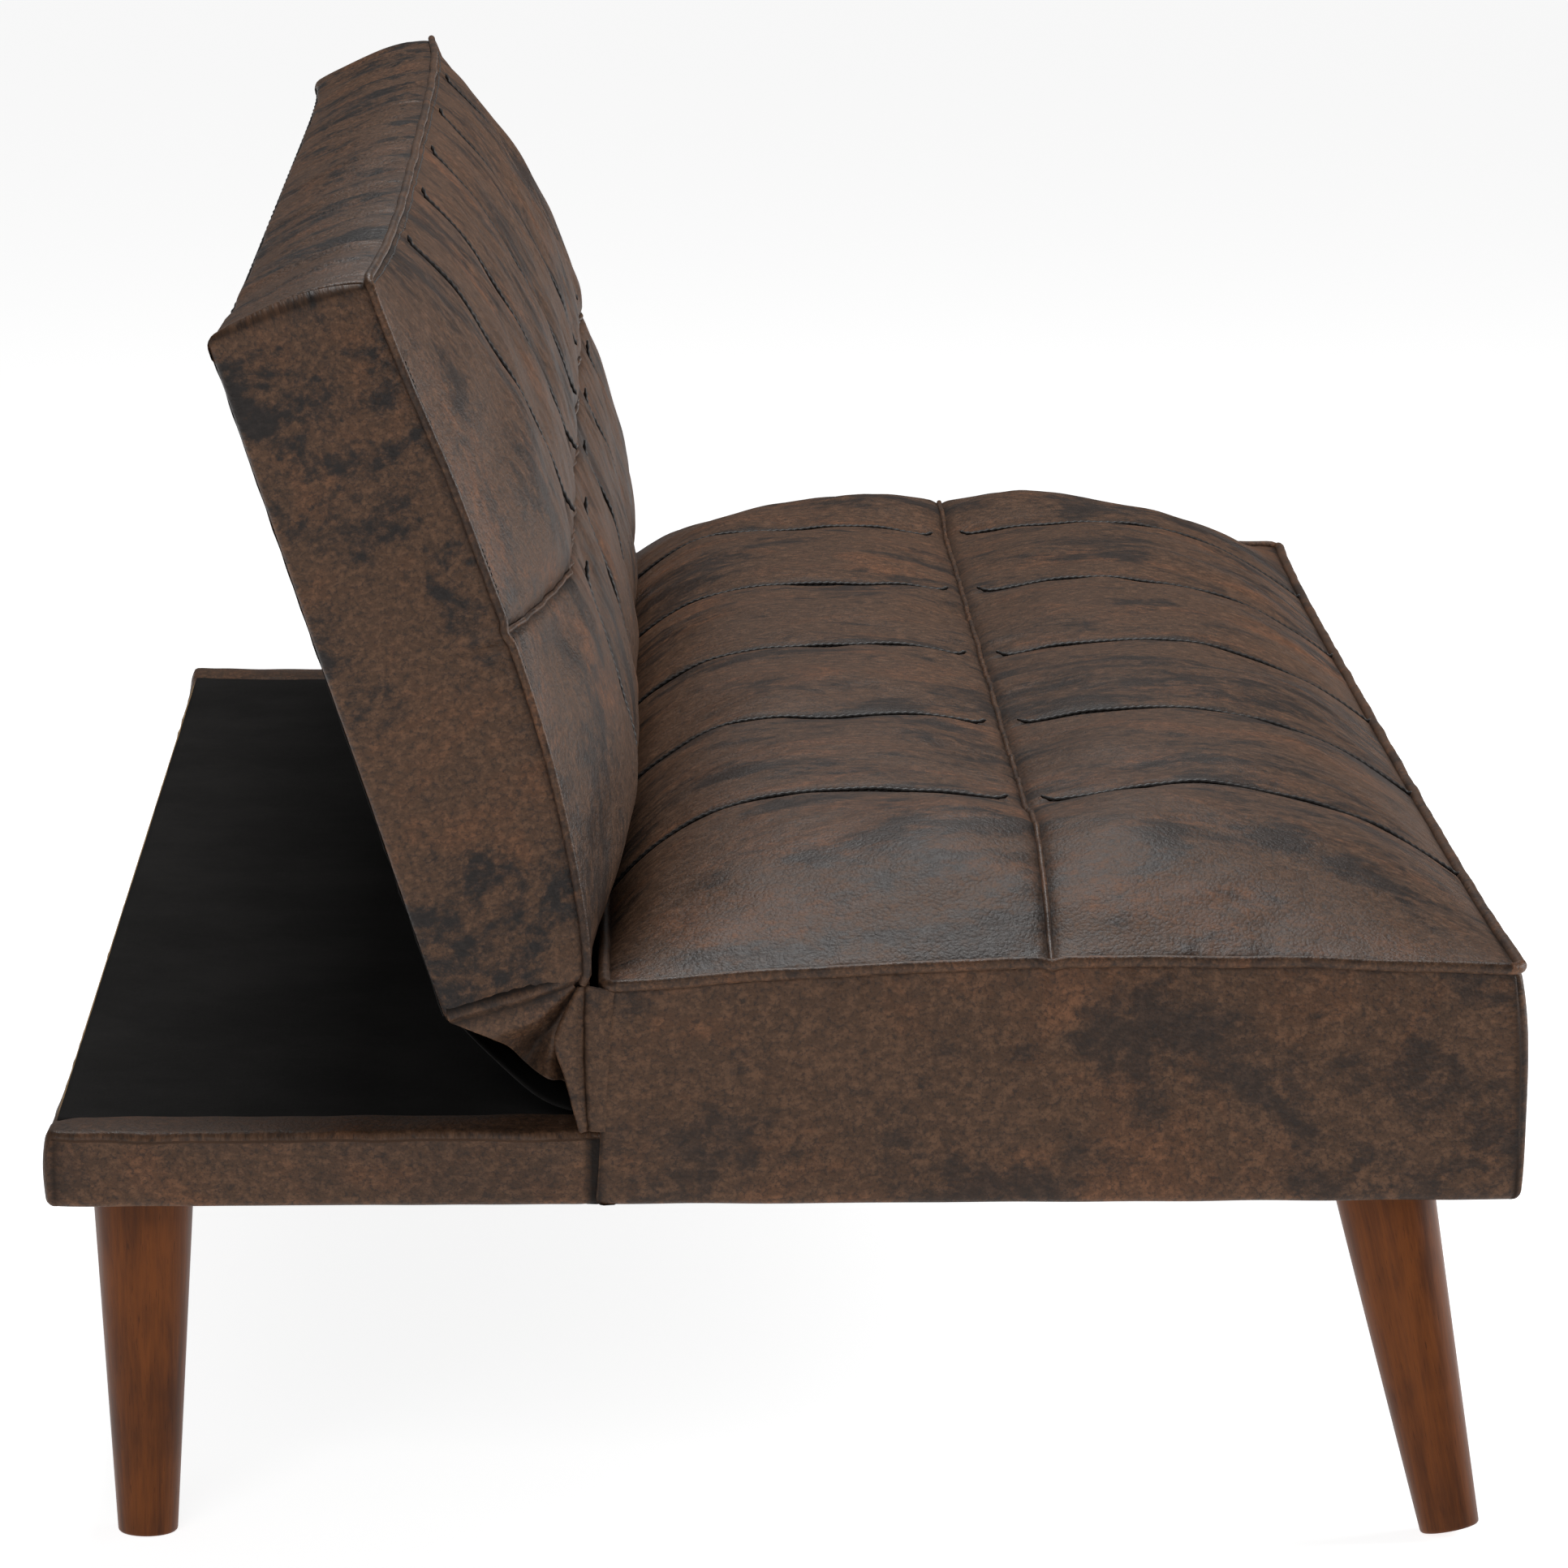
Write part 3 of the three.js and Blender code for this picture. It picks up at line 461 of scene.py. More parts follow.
        count = len(i)
        even = np.linspace(0, 1, self.border_rows)[1:]
        near_rim = np.array([0.0016, 0.0034, 0.0056]) / depth.mean()
        near_far = 1 - np.array([0.0, 0.0005, 0.0014, 0.0028, 0.0048]) / depth.mean()
        even = even[(even > near_rim[-1] * 1.5) & (even < near_far[-1] * 0.985)]
        share_down = np.array(sorted({*near_rim, *even, *near_far}))
        points, lay, crease_shade, wear = [top.reshape(-1, 3)], [], [], []
        lay.append(np.stack([grid_x, grid_s, 0 * grid_x], -1).reshape(-1, 3))
        crease_shade.append(self.crease_shades(x, s).ravel())
        wear.append(self.wear(x, s).ravel())
        bulge = self.bulge(out_x, out_s)
        for k in share_down:
            left = (1 - k) * depth
            rounding = np.where(left < self.far_round,
                                self.far_round - np.sqrt(np.maximum(
                                    self.far_round**2 - (self.far_round - left) ** 2, 0)), 0)
            wave, dark = self.border_detail(run, k * depth, out_x, out_s, rim_x, rim_s)
            full = np.sin(np.pi * k**0.8) ** 0.75 * bulge + wave - rounding
            points.append(rim * (1 - k) + far * k + outward * full[:, None])
            lay.append(np.stack([run, -k * depth, np.full(count, 3.7)], 1))
            crease_shade.append(dark)
            wear.append(np.exp(-k * depth / 0.012) + 0.6 * np.exp(-left / 0.006))
        lip = points[-1]
        for inward, up in LIP:
            points.append(lip - outward * inward + self.N * up)
            lay.append(np.stack([run, -depth - inward, np.full(count, 3.7)], 1))
            crease_shade.append(np.zeros(count))
            wear.append(np.zeros(count))
        rings = len(share_down) + len(LIP)

        faces = grid_faces(nx, ns, turned=True)
        kinds = [0] * len(faces)
        p = np.arange(count)
        q = (p + 1) % count
        rim_index = i * ns + j
        first = nx * ns
        faces += np.stack([rim_index[p], first + p, first + q, rim_index[q]], 1).tolist()
        faces += ring_faces(rings, count, first)
        last = first + (rings - 1) * count
        faces.append([last + v for v in range(count)][::-1])
        kinds += [1] * (len(faces) - len(kinds))

        self.x, self.s, self.top = x, s, top
        self.rim, self.outward = rim, outward
        # Besides the lay, each point carries its painted shade of grooves and seams, and wear, which only
        # makes it smoother.
        return new_piece(name, np.concatenate(points), faces, materials, kinds, {
            "lay": np.concatenate(lay), "crease_shade": np.concatenate(crease_shade),
            "wear": np.clip(np.concatenate(wear), 0, 1)})

    def read(self, x, s):
        """Points of the made panel at given places."""
        at_x = np.interp(x, self.x, np.arange(len(self.x)))
        at_s = np.interp(s, self.s, np.arange(len(self.s)))
        i = np.clip(at_x.astype(int), 0, len(self.x) - 2)
        j = np.clip(at_s.astype(int), 0, len(self.s) - 2)
        f, g = (at_x - i)[:, None], (at_s - j)[:, None]
        t = self.top
        return ((t[i, j] * (1 - f) + t[i + 1, j] * f) * (1 - g)
                + (t[i, j + 1] * (1 - f) + t[i + 1, j + 1] * f) * g)


class Channelled(Block):
    """A cushion with sewn channels and a cord across its middle, filled by pressure.

    peaks and powers shape the crown of each half, and dip and scallop say how far it falls at the
    welt. ready is the share of the puff that is there before filling, and by_filling the share that
    filling adds."""

    flat = 2  # channels on each side of the middle that keep the full crown
    shoulder = 2.2  # power of the crown's fall towards the ends
    gather_wave, gather_reach = 0.026, 0.013
    valley, valley_half = 0.0022, 0.0045  # of the welt
    roll, roll_from, roll_half = 0.0003, 0.011, 0.004  # the swelling on both sides of a seam
    panel_start = 0.022  # how far beyond the outermost seam the end panels begin to rise
    seed = 1

    def __init__(self, origin, S, N, half, length, sizes):
        super().__init__(origin, S, N, half, length)
        self.sizes = sizes
        self.marks = tuple(sizes.channel * k for k in range(-self.flat, self.flat + 1))
        self.edges = (-half, *self.marks, half)
        self.filled = None

    def crown(self, s):
        """Crown over the middle channels; each half peaks between its rim and the welt."""
        first = s < self.welt
        span = np.where(first, self.welt, self.length - self.welt)
        t = np.clip(np.where(first, s, self.length - s) / span, 0, 1)
        peak_at = np.where(first, self.peaks[0], self.peaks[1])
        power = np.where(first, self.powers[0], self.powers[1])
        rise = 1 - np.clip(1 - t / peak_at, 0, 1) ** power
        fall = self.dip * (np.clip(t - peak_at, 0, 1) / (1 - peak_at)) ** 2
        return self.peak * rise - fall

    def across(self, x):
        start = self.marks[-1]
        fall = np.clip((np.abs(x) - start) / (self.half - start), 0, 1)
        return 1 - fall**self.shoulder

    def channel_wave(self, x):
        """0 at each seam and 1 in the middle of each channel."""
        place = np.interp(x, self.edges, np.arange(len(self.edges)))
        wave = np.abs(np.sin(np.pi * place)) ** 0.95
        return np.where(np.abs(x) > self.marks[-1], wave * 0.85, wave)

    def half_wave(self, s):
        """Fullness along a channel: nothing at the rims, and the scallop's share at the welt."""
        first = s < self.welt
        span = np.where(first, self.welt, self.length - self.welt)
        t = np.clip(np.where(first, s, self.length - s) / span, 0, 1)
        rise = np.sin(np.pi / 2 * np.clip(t / 0.34, 0, 1)) ** 0.7
        return rise * (self.scallop + (1 - self.scallop) * smooth(1 - t, 0, 0.24))

    def end_lift(self, x, s):
        """How the rims of the two ends arch."""
        raise NotImplementedError

    def top_lift(self, x, s):
        return 0 * x * s

    def end_panels(self, x, s):
        """The outer channels are full over the welt too."""
        start = self.marks[-1] + self.panel_start
        out = np.clip((np.abs(x) - start) / (self.half - start), 0, 1)
        first = s < self.welt
        t = np.where(first, s / self.welt, (self.length - s) / (self.length - self.welt))
        return self.end_full * np.sin(np.pi * out**0.9) ** 1.1 * smooth(t, 0.3, 1.0)

    def plain(self, x, s, puff):
        a = self.across(x)
        return (self.end_lift(x, s) * (1 - a) + self.top_lift(x, s) + self.crown(s) * a
                + self.end_panels(x, s) + puff * self.channel_wave(x) * self.half_wave(s))

    def lift(self, x, s):
        return self.plain(x, s, self.sizes.puff * self.ready)

    def seam_strength(self, s):
        """A seam fades out before the welt, and starts just inside the rims."""
        from_welt = np.abs(s - self.welt)
        first = s < self.welt
        stop = np.where(first, self.seam_stop[0], self.seam_stop[1])
        fade = smooth(from_welt, stop * 0.25, stop * 1.6)
        return fade * smooth(np.minimum(s, self.length - s), self.seam_start * 0.2, self.seam_start * 2)

    def fill(self):
        """How far filling moves the panel, on an even grid of each channel, in x, s and lift."""
        per, half_rows = FILL_PER_CHANNEL, FILL_PER_HALF
        edges = np.array(self.edges)
        count = per * (len(edges) - 1) + 1
        x = np.interp(np.arange(count) / per, np.arange(len(edges)), edges)
        s = np.interp(np.arange(2 * half_rows + 1) / half_rows, [0, 1, 2], [0, self.welt, self.length])
        self.fill_edges, self.fill_rows = (edges, per, count), (half_rows, len(s))
        grid_x, grid_s = np.meshgrid(x, s, indexing="ij")
        start = self.place(grid_x, grid_s, self.plain(grid_x, grid_s, self.sizes.puff * self.ready))
        held = np.zeros(grid_x.shape)
        held[[0, -1], :] = 1
        held[:, [0, -1, half_rows]] = 1
        for k in range(1, len(edges) - 1):
            held[k * per, :] = np.maximum(held[k * per, :], self.seam_strength(s) > 0.5)
        i, j = rim_of(count, len(s))
        index = i * len(s) + j
        flat = start.reshape(-1, 3)
        below = flat[index] - self.N * 0.06
        faces = grid_faces(count, len(s), turned=True)
        p = np.arange(len(index))
        q = (p + 1) % len(index)
        faces += np.stack([index[p], len(flat) + p, len(flat) + q, index[q]], 1).tolist()
        faces.append([len(flat) + v for v in range(len(index))][::-1])
        cover = new_piece("filling", np.concatenate([flat, below]), faces, [])
        group = cover.vertex_groups.new(name="held")
        pinned = np.concatenate([held.ravel(), np.ones(len(below))])
        group.add([int(v) for v in np.nonzero(pinned)[0]], 1.0, "REPLACE")
        cloth = cover.modifiers.new("Filling", "CLOTH")
        settings = cloth.settings
        settings.quality = 7
        settings.mass = 0.3
        settings.tension_stiffness = settings.compression_stiffness = 22
        settings.shear_stiffness = 6
        settings.bending_stiffness = 0.35
        settings.vertex_group_mass = "held"
        settings.use_pressure = True
        settings.uniform_pressure_force = FILL_PRESSURE
        settings.shrink_min = -0.022
        settings.effector_weights.gravity = 0
        cloth.collision_settings.use_collision = False
        scene = bpy.context.scene
        for number in range(1, FILL_FRAMES + 1):
            scene.frame_set(number)
        graph = bpy.context.evaluated_depsgraph_get()
        after = cover.evaluated_get(graph).to_mesh()
        ended = np.zeros(len(after.vertices) * 3)
        after.vertices.foreach_get("co", ended)
        moved = ended.reshape(-1, 3)[: len(flat)] - flat
        bpy.data.objects.remove(cover)
        scene.frame_set(1)
        local = np.stack([moved[:, 0], moved @ self.S, moved @ self.N], 1)
        size = np.linalg.norm(local, axis=1, keepdims=True)
        typical = np.percentile(size, 88)
        local *= self.sizes.puff * self.by_filling / max(typical, 1e-6)
        size = np.linalg.norm(local, axis=1, keepdims=True)
        local *= np.minimum(1, FILL_MOST / np.maximum(size, 1e-9))
        return local.reshape(count, len(s), 3)

    def moved(self, x, s):
        if self.filled is None:
            self.filled = self.fill()
        edges, per, count = self.fill_edges
        half_rows, rows = self.fill_rows
        at_x = np.interp(x, edges, np.arange(len(edges))) * per
        at_s = np.interp(s, [0, self.welt, self.length], [0, 1, 2]) * half_rows
        read_x, read_s = weights(at_x, count), weights(at_s, rows)
        extra = np.einsum("ia,abk,jb->ijk", read_x, self.filled, read_s)
        extra[..., 2] += self.small_detail(x, s)
        return extra

    def small_detail(self, x, s):
        """Seams, the welt's valley, gathers and slow unevenness."""
        sizes = self.sizes
        grid_x, grid_s = np.meshgrid(x, s, indexing="ij")
        near = np.min([np.abs(x - m) for m in self.marks], 0)
        groove = np.exp(-((near / sizes.seam_width) ** 2))
        roll = np.exp(-(((near - self.roll_from) / self.roll_half) ** 2)) * self.roll
        strength = self.seam_strength(s)
        lift = (roll - sizes.seam_depth * groove)[:, None] * strength[None, :]
        from_welt = np.abs(s - self.welt)
        lift -= self.valley * np.exp(-((from_welt / self.valley_half) ** 2))[None, :]
        side = self.half - np.abs(x)
        patch = 0.35 + 0.65 * smooth(drift(self.seed + 5, grid_x, grid_s, 0.16), -0.9, 1.1)
        gather = sizes.pucker * patch
        for edge, along, seed in ((s, x, 11), (self.length - s, x, 12)):
            reach = np.exp(-edge / self.gather_reach) * smooth(edge, 0.0006, 0.005)
            lift += gather * reach[None, :] * np.abs(ripple(self.seed + seed, along,
                                                            self.gather_wave))[:, None]
        reach = np.exp(-side / self.gather_reach) * smooth(side, 0.0006, 0.005)
        lift += gather * reach[:, None] * np.abs(ripple(self.seed + 13, s, self.gather_wave))[None, :]
        pull = np.exp(-from_welt / 0.022)[None, :] * ripple(self.seed + 14, x, 0.034)[:, None]
        lift += 0.0007 * pull * (1 - groove[:, None])
        inside = smooth(np.minimum(side[:, None], np.minimum(s, self.length - s)[None, :]), 0.004, 0.05)
        lift += 0.0011 * inside * drift(self.seed + 7, grid_x, grid_s * 1.6, 0.11)
        lift += 0.00035 * inside * drift(self.seed + 8, grid_x * 1.5, grid_s, 0.036)
        return lift

    # Painted shade: the seams' grooves, the welt's valley and the panel beside the piping are painted
    # dark.
    def crease_shades(self, x, s):
        near = np.min([np.abs(x - m) for m in self.marks], 0)
        seam = np.exp(-((near / (self.sizes.seam_width * 1.75)) ** 8))[:, None] * self.seam_strength(s)
        from_welt = np.abs(s - self.welt) / self.valley_half
        welt = 0.55 * np.exp(-(from_welt**2))[None, :] * np.ones((len(x), 1))
        edge = np.minimum((self.half - np.abs(x))[:, None], np.minimum(s, self.length - s)[None, :])
        return np.clip(np.maximum(np.maximum(seam, welt), 0.7 * np.exp(-((edge / 0.0035) ** 2))), 0, 1)

    def border_detail(self, run, down, out_x, out_s, rim_x, rim_s):
        sizes = self.sizes
        patch = 0.3 + 0.7 * smooth(ripple(self.seed + 30, run, 0.11), -0.6, 1.2)
        gathers = ripple(self.seed + 31, run, 0.0115) * np.exp(-down / 0.016) * smooth(down, 0.001, 0.005)
        wave = sizes.pucker * 0.8 * patch * gathers
        wave += 0.0008 * drift(self.seed + 32, run, down * 1.3 + 0 * run, 0.10)
        corner_x = np.minimum(np.abs(np.abs(rim_x) - self.half), 1)
        corner_s = np.minimum(rim_s, self.length - rim_s)
        from_corner = np.hypot(corner_x, corner_s)
        off_line = np.abs(from_corner - self.corners[0] * 0.42) / 0.0014
        line = np.exp(-(off_line**2)) * (np.abs(out_x) > 0.5)
        wave -= 0.0010 * line
        # Painted shade: dark along the corner seam and in a band just under the piping.
        dark = np.maximum(0.65 * line, 0.8 * np.exp(-((down / 0.003) ** 2)))
        return wave, dark


class Seat(Channelled):
    peaks, powers = (0.66, 0.64), (2.3, 3.4)
    dip, scallop = 0.011, 0.30
    ready, by_filling = 0.70, 0.11
    seam_stop, seam_start = (0.012, 0.012), 0.0015
    bow = 0.009
    end_full = 0.017
    far_corners = (0.006, 0.0015)
    seed = 3

    def __init__(self, sizes):
        low, high = BASE_LOW, BASE_HIGH
        fall = sizes.seat_rim_front - sizes.seat_rim_rear
        depth = high.y - low.y
        slope = math.atan2(fall, depth)
        S, N = (0, math.cos(slope), -math.sin(slope)), (0, math.sin(slope), math.cos(slope))
        self.peak = sizes.seat_crown
        super().__init__((0, low.y, FLOOR_GAP + sizes.seat_rim_front), S, N, END,
                         math.hypot(depth, fall), sizes)
        self.welt = self.length * 0.512
        self.slope = slope

    def end_lift(self, x, s):
        return self.bow * np.sin(np.pi * np.clip(s / self.length, 0, 1))

    def depth(self, s):
        rim = self.sizes.seat_rim_front - s * math.sin(self.slope)
        return rim / math.cos(self.slope)

    def waist(self, across, along):
        side = 1 - np.abs(2 * along - 1) ** 4
        front = (1 - np.abs(across) ** 5) * np.clip(1 - along, 0, 1) ** 3
        return np.sign(across) * np.abs(across) ** 9 * 0.0016 * side, -0.0052 * front

    def far_length(self):
        return self.length + SEAM_BACK

    def far_waist(self, across, along):
        front = (1 - np.abs(across) ** 6) * np.clip(1 - along, 0, 1) ** 3
        return 0 * across, -0.002 * front

    def bulge(self, out_x, out_s):
        return 0.0062 * np.clip(-out_s, 0, 1) + 0.0024 * np.abs(out_x)


class Back(Channelled):
    peaks, powers = (0.66, 0.88), (3.0, 2.3)
    dip, scallop = 0.005, 0.62
    ready, by_filling = 0.55, 0.11
    seam_stop, seam_start = (0.016, 0.024), 0.007
    bow, top_bow = 0.019, 0.0085
    end_full = 0.004
    seed = 9
    drop = 0.006

    def __init__(self, sizes):
        turn = sizes.back_tilt
        S, N = (0, math.sin(turn), math.cos(turn)), (0, -math.cos(turn), math.sin(turn))
        in_, out = 0.013, 0.011
        y = HINGE.y - (in_ * math.cos(turn) - out * math.sin(turn))
        z = HINGE.z - (-in_ * math.sin(turn) - out * math.cos(turn))
        self.peak = sizes.back_crown
        super().__init__((0, y, z), S, N, END, sizes.back_length, sizes)
        self.welt = self.length * 0.492
        self.root, self.tip = 0.0815, 0.0955

    def end_lift(self, x, s):
        return self.bow * np.sin(np.pi * np.clip(s / self.length, 0, 1) ** 0.7)

    def top_lift(self, x, s):
        return self.top_bow * (1 - np.abs(x / self.half) ** 4) * smooth(s / self.length, 0.75, 1.0)

    def depth(self, s):
        return self.root + (self.tip - self.root) * s / self.length

    def far_length(self):
        return self.length - self.drop

    def waist(self, across, along):
        top = (1 - np.abs(across) ** 6) * np.clip(along, 0, 1) ** 3
        side = 1 - np.abs(2 * along - 1) ** 4
        return np.sign(across) * np.abs(across) ** 9 * 0.001 * side, 0.002 * top

    def far_waist(self, across, along):
        top = (1 - np.abs(across) ** 8) * np.clip(along, 0, 1) ** 6
        return 0 * across, 0.001 * top

    def ears(self, x, s, total):
        far = np.hypot(self.half - np.abs(x), total - s)
        ear = np.exp(-far / 0.009)
        middle = np.exp(-np.clip(total - s, 0, 1) / 0.03) * (1 - np.abs(x / self.half) ** 8)
        return np.sign(x) * 0.0005 * ear, 0.0018 * ear, 0.0015 * ear - 0.008 * middle

    def bulge(self, out_x, out_s):
        return 0.0075 * np.clip(out_s, 0, 1) + 0.003 * np.abs(out_x)

    def border_detail(self, run, down, out_x, out_s, rim_x, rim_s):
        wave, dark = super().border_detail(run, down, out_x, out_s, rim_x, rim_s)
        top = np.clip(out_s, 0, 1)
        folds = ripple(self.seed + 40, rim_x, 0.052)
        folds = folds + 0.6 * ripple(self.seed + 41, rim_x + down * 0.12, 0.026)
        fade = smooth(down, 0, 0.02) * (1 - 0.8 * smooth(down / self.tip, 0.6, 1.0))
        return wave + 0.0009 * top * folds * fade, dark


class Ledge(Block):
    """The low ledge behind the seat, with a puffy strip wrapped onto each end of it."""

    strip = 0.048
    corners = (0.0012, 0.008)
    far_corners = (0.0012, 0.006)
    border_rows = 14
    edge_round = 0.004
    seed = 21

    def __init__(self):
        low, high = LEDGE_LOW, LEDGE_HIGH
        super().__init__((0, low.y, high.z), (0, 1, 0), (0, 0, 1), END, high.y - low.y)

    def strip_edge(self, s):
        """Inner edge of the end strips: it wanders, and turns in round the rear corner."""
        return self.half - self.strip - 0.0012 * ripple(self.seed, s, 0.09)

    def columns(self, step):
        inner = super().columns(step)
        near = (-0.004, -0.002, 0, 0.002, 0.004)
        strip = [w * (self.half - self.strip + d) for w in (-1, 1) for d in near]
        return np.array(sorted({round(v, 7) for v in (*inner, *strip)}))

    def lift(self, x, s):
        onto = np.abs(x) - self.strip_edge(s)
        corner = np.maximum(0, 0.016 - (self.length - s))
        onto = onto - 0.9 * corner
        strip = smooth(onto, -0.002, 0.005)
        puff = np.sin(np.pi * np.clip(onto / self.strip, 0, 1)) ** 0.6
        lift = -0.0012 + strip * 0.0006 + 0.0022 * puff
        for edge in (self.half - np.abs(x), self.length - s):
            r = self.edge_round
            d = np.clip(edge, 0, r)
            lift = lift - (r - np.sqrt(np.maximum(r * r - (r - d) ** 2, 0))) * 0.9
        return lift + 0.0004 * drift(self.seed + 2, x, s, 0.05) * strip

    def depth(self, s):
        return np.full_like(s, LEDGE_HIGH.z - FLOOR_GAP)

    def waist(self, across, along):
        under_seat = 1 - smooth(along * self.length, SEAM_BACK, SEAM_BACK + 0.004)
        return (np.sign(across) * 0.0021 * under_seat * (np.abs(across) > 0.99),
                0.003 * (1 - np.abs(across) ** 6) * np.clip(along, 0, 1) ** 4)

    def bulge(self, out_x, out_s):
        return 0.0016 * np.clip(out_s, 0, 1) + 0.0013 * np.abs(out_x)

    def border_detail(self, run, down, out_x, out_s, rim_x, rim_s):
        wave = 0.0005 * drift(self.seed + 3, run, down + 0 * run, 0.07)
        near_seat = np.exp(-rim_s / 0.03) * np.abs(out_x)
        wave += 0.0011 * near_seat * ripple(self.seed + 4, rim_s, 0.011) * np.exp(-down / 0.03)
        # Painted shade: dark along the seam line near the rear corner, and all over the end border under
        # the seat.
        from_corner = np.abs(self.length - rim_s - 0.006)
        line = np.exp(-((from_corner / 0.0022) ** 2)) * (np.abs(out_x) > 0.4)
        wave -= 0.0012 * line
        under_seat = (1 - smooth(rim_s, SEAM_BACK, SEAM_BACK + 0.003)) * (np.abs(out_x) > 0.4)
        return wave, np.maximum(0.8 * line, under_seat)


# ---- finishes ------------------------------------------------------------------------------------

class Nodes:
    """A short way to write a node tree."""

    def __init__(self, tree):
        self.tree = tree

    def add(self, kind, inputs=None, **settings):
        node = self.tree.nodes.new(kind)
        for key, value in settings.items():
            setattr(node, key, value)
        for key, value in (inputs or {}).items():
            self.put(node.inputs[key], value)
        return node

    def put(self, socket, value):
        """Link a socket to another one, or give it a value."""
        if isinstance(value, bpy.types.NodeSocket):
            self.tree.links.new(value, socket)
        else:
            socket.default_value = value

    def maths(self, operation, a, b=0.0, clamp=False):
        return self.add("ShaderNodeMath", {0: a, 1: b}, operation=operation, use_clamp=clamp).outputs[0]

    def times(self, a, b, clamp=False):
        return self.maths("MULTIPLY", a, b, clamp)

    def plus(self, a, b, clamp=False):
        return self.maths("ADD", a, b, clamp)

    def less(self, a, b):
        return self.maths("SUBTRACT", a, b)

    def grey(self, value):
        return self.add("ShaderNodeCombineColor", {0: value, 1: value, 2: value}).outputs[0]

    def object_place(self):
        return self.add("ShaderNodeTexCoord").outputs["Object"]

    def between(self, value, low, high, to_low=0.0, to_high=1.0):
        return self.add("ShaderNodeMapRange", {"Value": value, "From Min": low, "From Max": high,
                                               "To Min": to_low, "To Max": to_high},
                        interpolation_type="SMOOTHSTEP").outputs[0]

    def mix(self, factor, a, b, blend="MIX"):
        node = self.add("ShaderNodeMix", {0: factor, 6: a, 7: b}, data_type="RGBA", blend_type=blend)
        return node.outputs[2]

    def noise(self, vector, scale, detail=4.0, roughness=0.55, distortion=0.0):
        return self.add("ShaderNodeTexNoise", {"Vector": vector, "Scale": scale, "Detail": detail,
                                               "Roughness": roughness,
                                               "Distortion": distortion}).outputs["Fac"]

    def stretched(self, vector, scale, offset=(0.0, 0.0, 0.0)):
        return self.add("ShaderNodeMapping", {"Vector": vector, "Scale": scale,
                                              "Location": offset}).outputs[0]

    def value_of(self, name, output="Fac"):
        return self.add("ShaderNodeAttribute", attribute_name=name).outputs[output]

    def group(self, group, **inputs):
        node = self.add("ShaderNodeGroup")
        node.node_tree = group
        for key, value in inputs.items():
            self.put(node.inputs[key.replace("_", " ")], value)
        return node.outputs


def new_group(name, inputs, outputs):
    """A node group with named sockets; inputs give each one's kind and default."""
    old = bpy.data.node_groups.get(name)
    if old:
        return old, None, None
    group = bpy.data.node_groups.new(name, "ShaderNodeTree")
    for key, (kind, value) in inputs.items():
        socket = group.interface.new_socket(name=key, in_out="INPUT", socket_type="NodeSocket" + kind)
        if value is not None:
            socket.default_value = value
    for key, kind in outputs.items():
        group.interface.new_socket(name=key, in_out="OUTPUT", socket_type="NodeSocket" + kind)
    nodes = Nodes(group)
    return group, nodes, nodes.add("NodeGroupInput").outputs


def close_group(nodes, outputs):
    nodes.add("NodeGroupOutput", outputs)


def mottle_group():
    """Clouds of darkened and rubbed finish, drawn out along the stretch of the vector."""
    group, nodes, given = new_group("Distressed mottle", {
        "Vector": ("Vector", None), "Size": ("Float", 1.0), "Dark": ("Float", 0.8),
        "Warm": ("Float", 0.7)},
        {"Dark mask": "Float", "Warm mask": "Float", "Scuff": "Float"})
    if nodes is None:
        return group
    vector, size = given["Vector"], given["Size"]
    big = nodes.noise(vector, nodes.times(size, 10.0), 6, 0.66, 0.6)
    patch = nodes.noise(nodes.stretched(vector, (1, 1, 1), (3.1, 1.7, 0.4)),
                        nodes.times(size, 30.0), 6, 0.70, 0.5)
    broken = nodes.noise(vector, nodes.times(size, 120.0), 5, 0.75)
    cloud = nodes.plus(nodes.times(big, 0.5), nodes.times(patch, 0.4))
    cloud = nodes.plus(cloud, nodes.times(broken, 0.22))
    dark = nodes.times(nodes.between(cloud, 0.550, 0.635), given["Dark"])
    other = nodes.noise(nodes.stretched(vector, (1, 1, 1), (7.3, 2.2, 5.5)),
                        nodes.times(size, 15.0), 6, 0.68, 0.8)
    other = nodes.plus(nodes.times(other, 0.8), nodes.times(broken, 0.2))
    warm = nodes.times(nodes.between(other, 0.49, 0.64), given["Warm"])
    warm = nodes.times(warm, nodes.less(1.0, dark))
    scuff = nodes.noise(nodes.stretched(vector, (1, 1, 1), (1.3, 8.1, 2.5)),
                        nodes.times(size, 240.0), 3, 0.7)
    close_group(nodes, {"Dark mask": dark, "Warm mask": warm,
                        "Scuff": nodes.between(scuff, 0.35, 0.75)})
    return group


def grain_group():
    """Pebbled leather grain with small pits."""
    group, nodes, given = new_group("Leather grain", {
        "Vector": ("Vector", None), "Cells": ("Float", 420.0)},
        {"Height": "Float", "Pits": "Float"})
    if nodes is None:
        return group
    vector, cells = given["Vector"], given["Cells"]
    wander = nodes.add("ShaderNodeTexNoise", {"Vector": vector, "Scale": 130.0, "Detail": 2.0})
    bent = nodes.add("ShaderNodeMix", {0: 0.0035, 4: vector, 5: wander.outputs["Color"]},
                     data_type="VECTOR").outputs[1]
    pebble = nodes.add("ShaderNodeTexVoronoi", {"Vector": bent, "Scale": cells, "Randomness": 1.0},
                       feature="F1").outputs["Distance"]
    fine = nodes.noise(vector, nodes.times(cells, 2.4), 3, 0.65)
    broad = nodes.noise(vector, nodes.times(cells, 0.3), 3, 0.6)
    height = nodes.less(nodes.times(fine, 0.45),
                         nodes.times(pebble, 0.55))
    height = nodes.plus(height, nodes.times(broad, 0.5))
    pits = nodes.between(nodes.plus(nodes.times(pebble, 0.6),
                                     nodes.less(1.0, fine)), 0.78, 1.1)
    close_group(nodes, {"Height": height, "Pits": pits})
    return group


